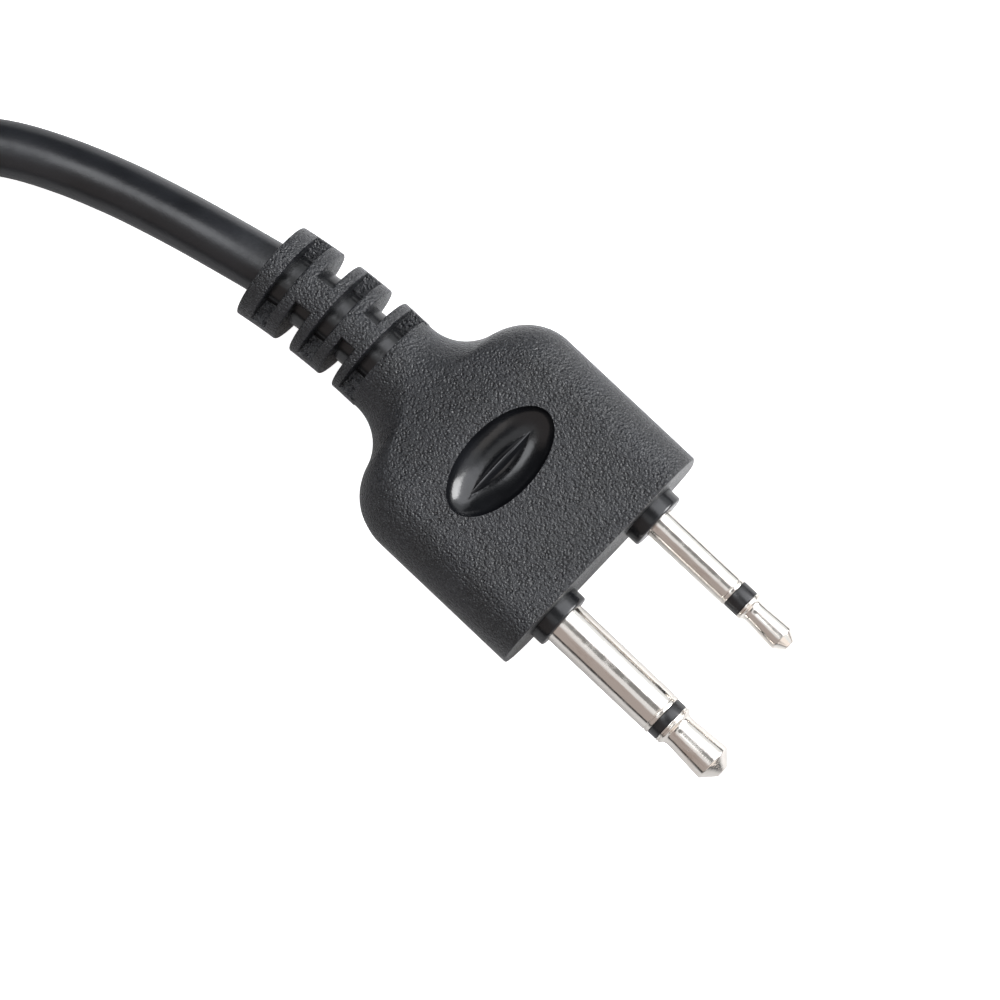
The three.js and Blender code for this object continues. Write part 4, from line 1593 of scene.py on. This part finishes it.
    def _insert(self) -> bpy.types.Object:
        """The insulating insert with its five holes and a flat for the latch."""
        rear, front, radius = self.insert_rear, self.insert_front, self.insert_radius
        corners = [(rear, 0.0, 0.0), (rear, radius, 0.2), (front, radius, 0.25), (front, 0.0, 0.0)]
        insert = self._turned("contact_insert", corners, 96)
        flat = Surface().block((28.0, -9.0, self.insert_flat), (44.0, 9.0, 9.0))
        carve(insert, flat.piece("flat_tool", self.datum))
        for y, z in self.contact_places():
            corners = [
                (28.0, 0.0, 0.0), (28.0, 0.8, 0.0), (44.75, 0.8, 0.0), (44.75, 0.55, 0.0), (45.05, 0.55, 0.0),
                (45.5, 0.95, 0.0), (46.0, 0.95, 0.0), (46.0, 0.0, 0.0),
            ]
            carve(insert, self._turned("hole_tool", corners, 32, (0.0, y, z)))
        return insert

    def _contact(self, index: int, y: float, z: float) -> bpy.types.Object:
        """One socket contact."""
        front, rear = self.contact_front, self.contact_rear
        radius, bore = self.contact_radius, self.contact_bore
        corners = [
            (front, bore, 0.05), (front, radius, 0.08), (30.0, radius, 0.0), (rear, radius, 0.1),
            (rear, bore, 0.0), (front, bore, 0.0),
        ]
        return self._turned(f"socket_contact_{index}", corners, 32, (0.0, y, z))

    def _button(self) -> bpy.types.Object:
        """The release button: ridged cap, arm and ramped catch in one piece."""
        middle, low, half, tip = self.button_middle, self.button_low, self.arm_half, self.arm_front
        long, wide = self.button_half
        cap = Surface().block((middle - long, -wide, low), (middle + long, wide, self.button_top))
        button = cap.piece("ridged_release_button", self.datum)
        for offset in (-2.0, -1.0, 0.0, 1.0, 2.0):
            x = middle + offset
            groove = Surface().block((x - 0.2, -9.0, 6.98), (x + 0.2, 9.0, 9.0))
            carve(button, groove.piece("groove_tool", self.datum))
        arm = Surface().block((middle, -half, low), (tip, half, 3.85))
        carve(button, arm.piece("arm", self.datum), Carve.JOIN)
        outline = [(40.4, 3.6), (tip, 3.6), (tip, 4.5), (41.3, 5.7), (40.4, 5.7)]
        catch = Surface().skin([[(x, y, z) for x, z in outline] for y in (-half, half)])
        carve(button, catch.piece("catch", self.datum), Carve.JOIN)
        soften(button, 0.13, 3, 40.0)
        return button

    def build(self, finishes: Finishes) -> list[bpy.types.Object]:
        """Make the connector's seen pieces.

        Args:
            finishes: the object's materials.

        Returns:
            The pieces.
        """
        made = [
            self._finished(self._boot(), finishes, Slot.BOOT, "connector_boot"),
            self._finished(self._back_nut(), finishes, Slot.SHELL, "connector_back_nut"),
            self._finished(self._shell(), finishes, Slot.SHELL, "connector_shell", angle=38.0),
            self._finished(self._insert(), finishes, Slot.INSULATOR, "connector_insert"),
            self._finished(self._button(), finishes, Slot.NICKEL, "release_button", Body.BUTTON, 50.0),
        ]
        for i, (y, z) in enumerate(self.contact_places(), start=1):
            contact = self._contact(i, y, z)
            made.append(self._finished(contact, finishes, Slot.GOLD, f"connector_contact_{i}"))
        return made


@dataclass
class LatchSpring:
    """The bowed leaf under the release button's arm."""

    datum: Datum
    rear: float = 28.7
    front: float = 35.7
    low: float = 2.15
    high: float = 3.05
    thickness: float = 0.2
    half_width: float = 0.9
    pressed_share: float = 0.2

    def build(self, finishes: Finishes) -> bpy.types.Object:
        """Make the leaf.

        Args:
            finishes: the object's materials.

        Returns:
            The piece.
        """
        steps = 36
        rings = []
        for i in range(steps + 1):
            t = i / steps
            x = self.rear + (self.front - self.rear) * t
            z = self.low + (self.high - self.thickness - self.low) * 4 * t * (1 - t)
            half = self.half_width * math.sqrt(min(1.0, 0.25 + min(t, 1 - t) * 12))
            top = z + self.thickness
            rings.append([(x, -half, z), (x, half, z), (x, half, top), (x, -half, top)])
        leaf = Surface().skin(rings).piece("bowed_latch_spring", self.datum)
        soften(leaf, 0.04, 2, 50.0)
        dress(leaf, finishes.by_slot[Slot.NICKEL])
        shade(leaf, 45.0)
        enter(leaf, Body.LEAD, Slot.NICKEL, "latch_spring")
        anchor = self.datum.point(((self.rear + self.front) / 2, 0.0, self.low))
        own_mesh(leaf)
        return leaf


# ------------------------------------------------------------------ pieces inside


def dress_inner_pieces(finishes: Finishes) -> None:
    """Give every CAD node that still shows the material of its slot.

    Args:
        finishes: the object's materials.
    """
    for entry in frame["record"]["subparts"]:
        node = frame["nodes"][entry["node"]]
        if node.hide_render:
            continue
        material = finishes.by_slot[Slot(entry["material_slot"])]
        for slot in node.material_slots:
            slot.link = "OBJECT"
            slot.material = material
        LOG.info("%s keeps its own shape in %s", node.name, material.name)


# ------------------------------------------------------------------ studio


@dataclass(frozen=True)
class Patch:
    """A soft-edged part of the room: where it lies, how it fades in, its colour and how it rises."""

    towards: Point
    fade: Pair
    colour: Colour
    rise: Pair | None = None


ROOM_DARK = grey(0.015)
ROOM = {
    "front card": Patch((1.0, 0.0, 0.0), (0.62, 0.85), (0.42, 0.39, 0.37, 1.0)),
    "warm wall": Patch((0.0, -1.0, 0.0), (0.28, 0.46), (0.165, 0.146, 0.139, 1.0), (0.06, 0.2)),
    "skirt": Patch((0.45, 0.85, 0.3), (0.58, 0.74), (0.36, 0.37, 0.38, 1.0), (0.05, 0.13)),
    "overhead cloth": Patch((0.0, 0.0, 1.0), (0.78, 0.9), (0.33, 0.332, 0.34, 1.0)),
    "side box": Patch((0.2, 0.62, 0.76), (0.84, 0.95), (1.1, 1.12, 1.17, 1.0)),
    "rear box": Patch((-0.42, -0.1, 0.9), (0.93, 0.985), (1.55, 1.58, 1.63, 1.0)),
    "dark ring overhead": Patch((0.04, 0.0, 0.999), (0.958, 0.985), grey(0.1)),
}


@dataclass
class Studio:
    """Pale floor, soft lights and the camera."""

    datum: Datum
    aim: Point = (-8.6, -1.8, 0.0)
    tilt_to_pins: float = 5.23
    tilt_to_side: float = -3.39
    roll: float = 43.39
    distance: float = 337.8
    lens: float = 162.6
    sheet_near: float = 30.0
    sheet_far: float = 95.0

    def camera(self) -> None:
        """Make the camera, nearly above the plug's broad face, with the plug lying aslant."""
        az, el, roll = (math.radians(a) for a in (self.tilt_to_pins, self.tilt_to_side, self.roll))
        back = Vector((math.sin(az) * math.cos(el), math.sin(el), math.cos(az) * math.cos(el)))
        level = Vector((math.cos(roll), math.sin(roll), 0.0))
        right = (level - back * level.dot(back)).normalized()
        up = back.cross(right)
        data = bpy.data.cameras.new("camera")
        data.lens = self.lens
        data.sensor_width = 36.0
        data.clip_start = 0.01
        camera = bpy.data.objects.new("camera", data)
        bpy.context.scene.collection.objects.link(camera)
        place = self.datum.point(self.aim) + back * self.distance * MM
        camera.matrix_world = Matrix.Translation(place) @ Matrix((right, up, back)).transposed().to_4x4()
        bpy.context.scene.camera = camera

    def _panel(self, name: str, place: Point, size: Pair, power: float, colour: Point) -> None:
        """A soft rectangular light that faces the plug.

        Args:
            name: its name.
            place: where it stands, in millimetres in the plug's frame.
            size: its two sides, in metres.
            power: in watts.
            colour: its tint.
        """
        data = bpy.data.lights.new(name, "AREA")
        data.shape = "RECTANGLE"
        data.size, data.size_y = size
        data.energy = power
        data.color = colour
        lamp = bpy.data.objects.new(name, data)
        lamp.location = self.datum.point(place)
        aim = self.datum.point(self.aim) - lamp.location
        lamp.rotation_euler = aim.to_track_quat("-Z", "Y").to_euler()
        bpy.context.scene.collection.objects.link(lamp)

    def lights(self) -> None:
        """Stand one soft panel beside the plug, for crisp lines on the metal and in the dimple."""
        self._panel("key_panel", (300.0, 420.0, 250.0), (0.34, 0.3), 4.2, (1.0, 1.0, 1.0))

    def room(self) -> None:
        """White behind everything, and round it a dark room with a wide soft light on the +Y side."""
        world = bpy.data.worlds.new("studio_room")
        bpy.context.scene.world = world
        world.use_nodes = True
        shading = Shading(world.node_tree, "Generated")
        x, y, z = (shading.axis(name) for name in "XYZ")
        colour = ROOM_DARK
        for name, patch in ROOM.items():
            along_x, along_y, along_z = patch.towards
            share = (x * along_x + y * along_y + z * along_z).between(*patch.fade)
            if patch.rise:
                share = share * z.between(*patch.rise)
            colour = shading.blend(share, colour, patch.colour)
            LOG.info("the room has its %s", name)
        around = shading.node("ShaderNodeBackground", {}, {"Color": colour, "Strength": 3.0})
        behind = shading.node("ShaderNodeBackground", {}, {"Color": grey(1.0), "Strength": 1.0})
        self._seen_white(shading, around.outputs[0], behind.outputs[0], "ShaderNodeOutputWorld")

    @staticmethod
    def _seen_white(
        shading: Shading, lit: bpy.types.NodeSocket, seen: bpy.types.NodeSocket, kind: str
    ) -> None:
        """Show one shader in the picture and another in reflections and to the light.

        Args:
            shading: the tree.
            lit: the shader for reflections and bounced light.
            seen: the shader for what is looked at directly.
            kind: the output node's type.
        """
        path = shading.node("ShaderNodeLightPath")
        mix = shading.node("ShaderNodeMixShader")
        output = shading.node(kind)
        shading.link(path.outputs["Is Camera Ray"], mix.inputs[0])
        shading.link(lit, mix.inputs[1])
        shading.link(seen, mix.inputs[2])
        shading.link(mix.outputs[0], output.inputs["Surface"])

    def floor(self) -> None:
        """A white sheet under the plug, which looks darker in reflections away from it."""
        tree = FinishTree("pale_floor")
        ends = {0: tree.place, 1: self.datum.point(self.aim)}
        spot = tree.node("ShaderNodeVectorMath", {"operation": "DISTANCE"}, ends)
        near = Value(tree, spot.outputs["Value"]).between(self.sheet_far * MM, self.sheet_near * MM)
        lit_side = tree.axis("Y").between(-12.0 * MM, 12.0 * MM)
        tone = tree.blend(near, grey(0.1), tree.blend(lit_side, grey(0.48), grey(0.84)))
        lit = tree.node("ShaderNodeBsdfDiffuse", {}, {"Color": tone})
        white = tree.node("ShaderNodeBsdfDiffuse", {}, {"Color": grey(0.9)})
        glow = tree.node("ShaderNodeEmission", {}, {"Color": grey(1.0), "Strength": 0.86})
        seen = tree.node("ShaderNodeAddShader")
        tree.link(white.outputs[0], seen.inputs[0])
        tree.link(glow.outputs[0], seen.inputs[1])
        self._seen_white(tree, lit.outputs[0], seen.outputs[0], "ShaderNodeOutputMaterial")
        side = 2500.0
        floor = Surface().block((-side, -side, -12.0), (side, side, -5.0)).piece("pale_floor", self.datum)
        dress(floor, tree.material)

    def build(self) -> None:
        """Make the camera, the light, the room and the floor."""
        self.camera()
        self.lights()
        self.room()
        self.floor()
        bpy.context.scene.view_settings.view_transform = "Standard"


# ------------------------------------------------------------------ assembly


def datum_at(node: str, end: int) -> Datum:
    """A sub-assembly's frame, on the axis of one of its CAD nodes.

    Args:
        node: the CAD node.
        end: 0 for the node's rear end, 1 for its front end.

    Returns:
        The frame.
    """
    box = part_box(node)
    low, high = box
    return Datum(Vector((box[end][0], (low[1] + high[1]) / 2, (low[2] + high[2]) / 2)))


def jack_pins(datum: Datum) -> list[JackPin]:
    """The two pins and their sizes.

    Args:
        datum: the plug's frame.

    Returns:
        The large pin and the small pin.
    """
    large = JackPin(
        datum,
        name="large",
        y=-5.15,
        sleeve_radius=1.75,
        sleeve_end=11.3,
        ring_end=12.1,
        ring_radius=1.66,
        shoulder_end=12.55,
        shoulder_radius=1.68,
        waist_radius=1.33,
        swell_at=16.4,
        swell_radius=1.57,
        end=17.4,
        end_radius=0.5,
    )
    small = JackPin(
        datum,
        name="small",
        y=5.15,
        sleeve_radius=1.25,
        sleeve_end=8.9,
        ring_end=10.15,
        ring_radius=1.17,
        shoulder_end=10.5,
        shoulder_radius=1.2,
        waist_radius=0.92,
        swell_at=13.75,
        swell_radius=1.12,
        end=14.6,
        end_radius=0.5,
    )
    return [large, small]


def main() -> None:
    """Build every piece, in order, around the frame."""
    datum = datum_at("plug_body", 1)
    far_datum = datum_at("connector_boot", 0)
    Studio(datum).build()
    finishes = Finishes()
    relief = StrainRelief(datum)
    cord = Cord(datum, relief)
    curve = cord.build(finishes)
    tie = HankTie(datum, cord).build(finishes)
    connector = Connector(far_datum).build(finishes)
    connector.append(LatchSpring(far_datum).build(finishes))
    cord.declare()
    PlugBody(datum).build(finishes)
    relief.build(finishes)
    PinMould(datum).build(finishes)
    for pin in jack_pins(datum):
        pin.build(finishes)
    dress_inner_pieces(finishes)


if __name__ == "__main__":
    logging.basicConfig(level=logging.INFO, format="%(name)s: %(message)s")
    main()
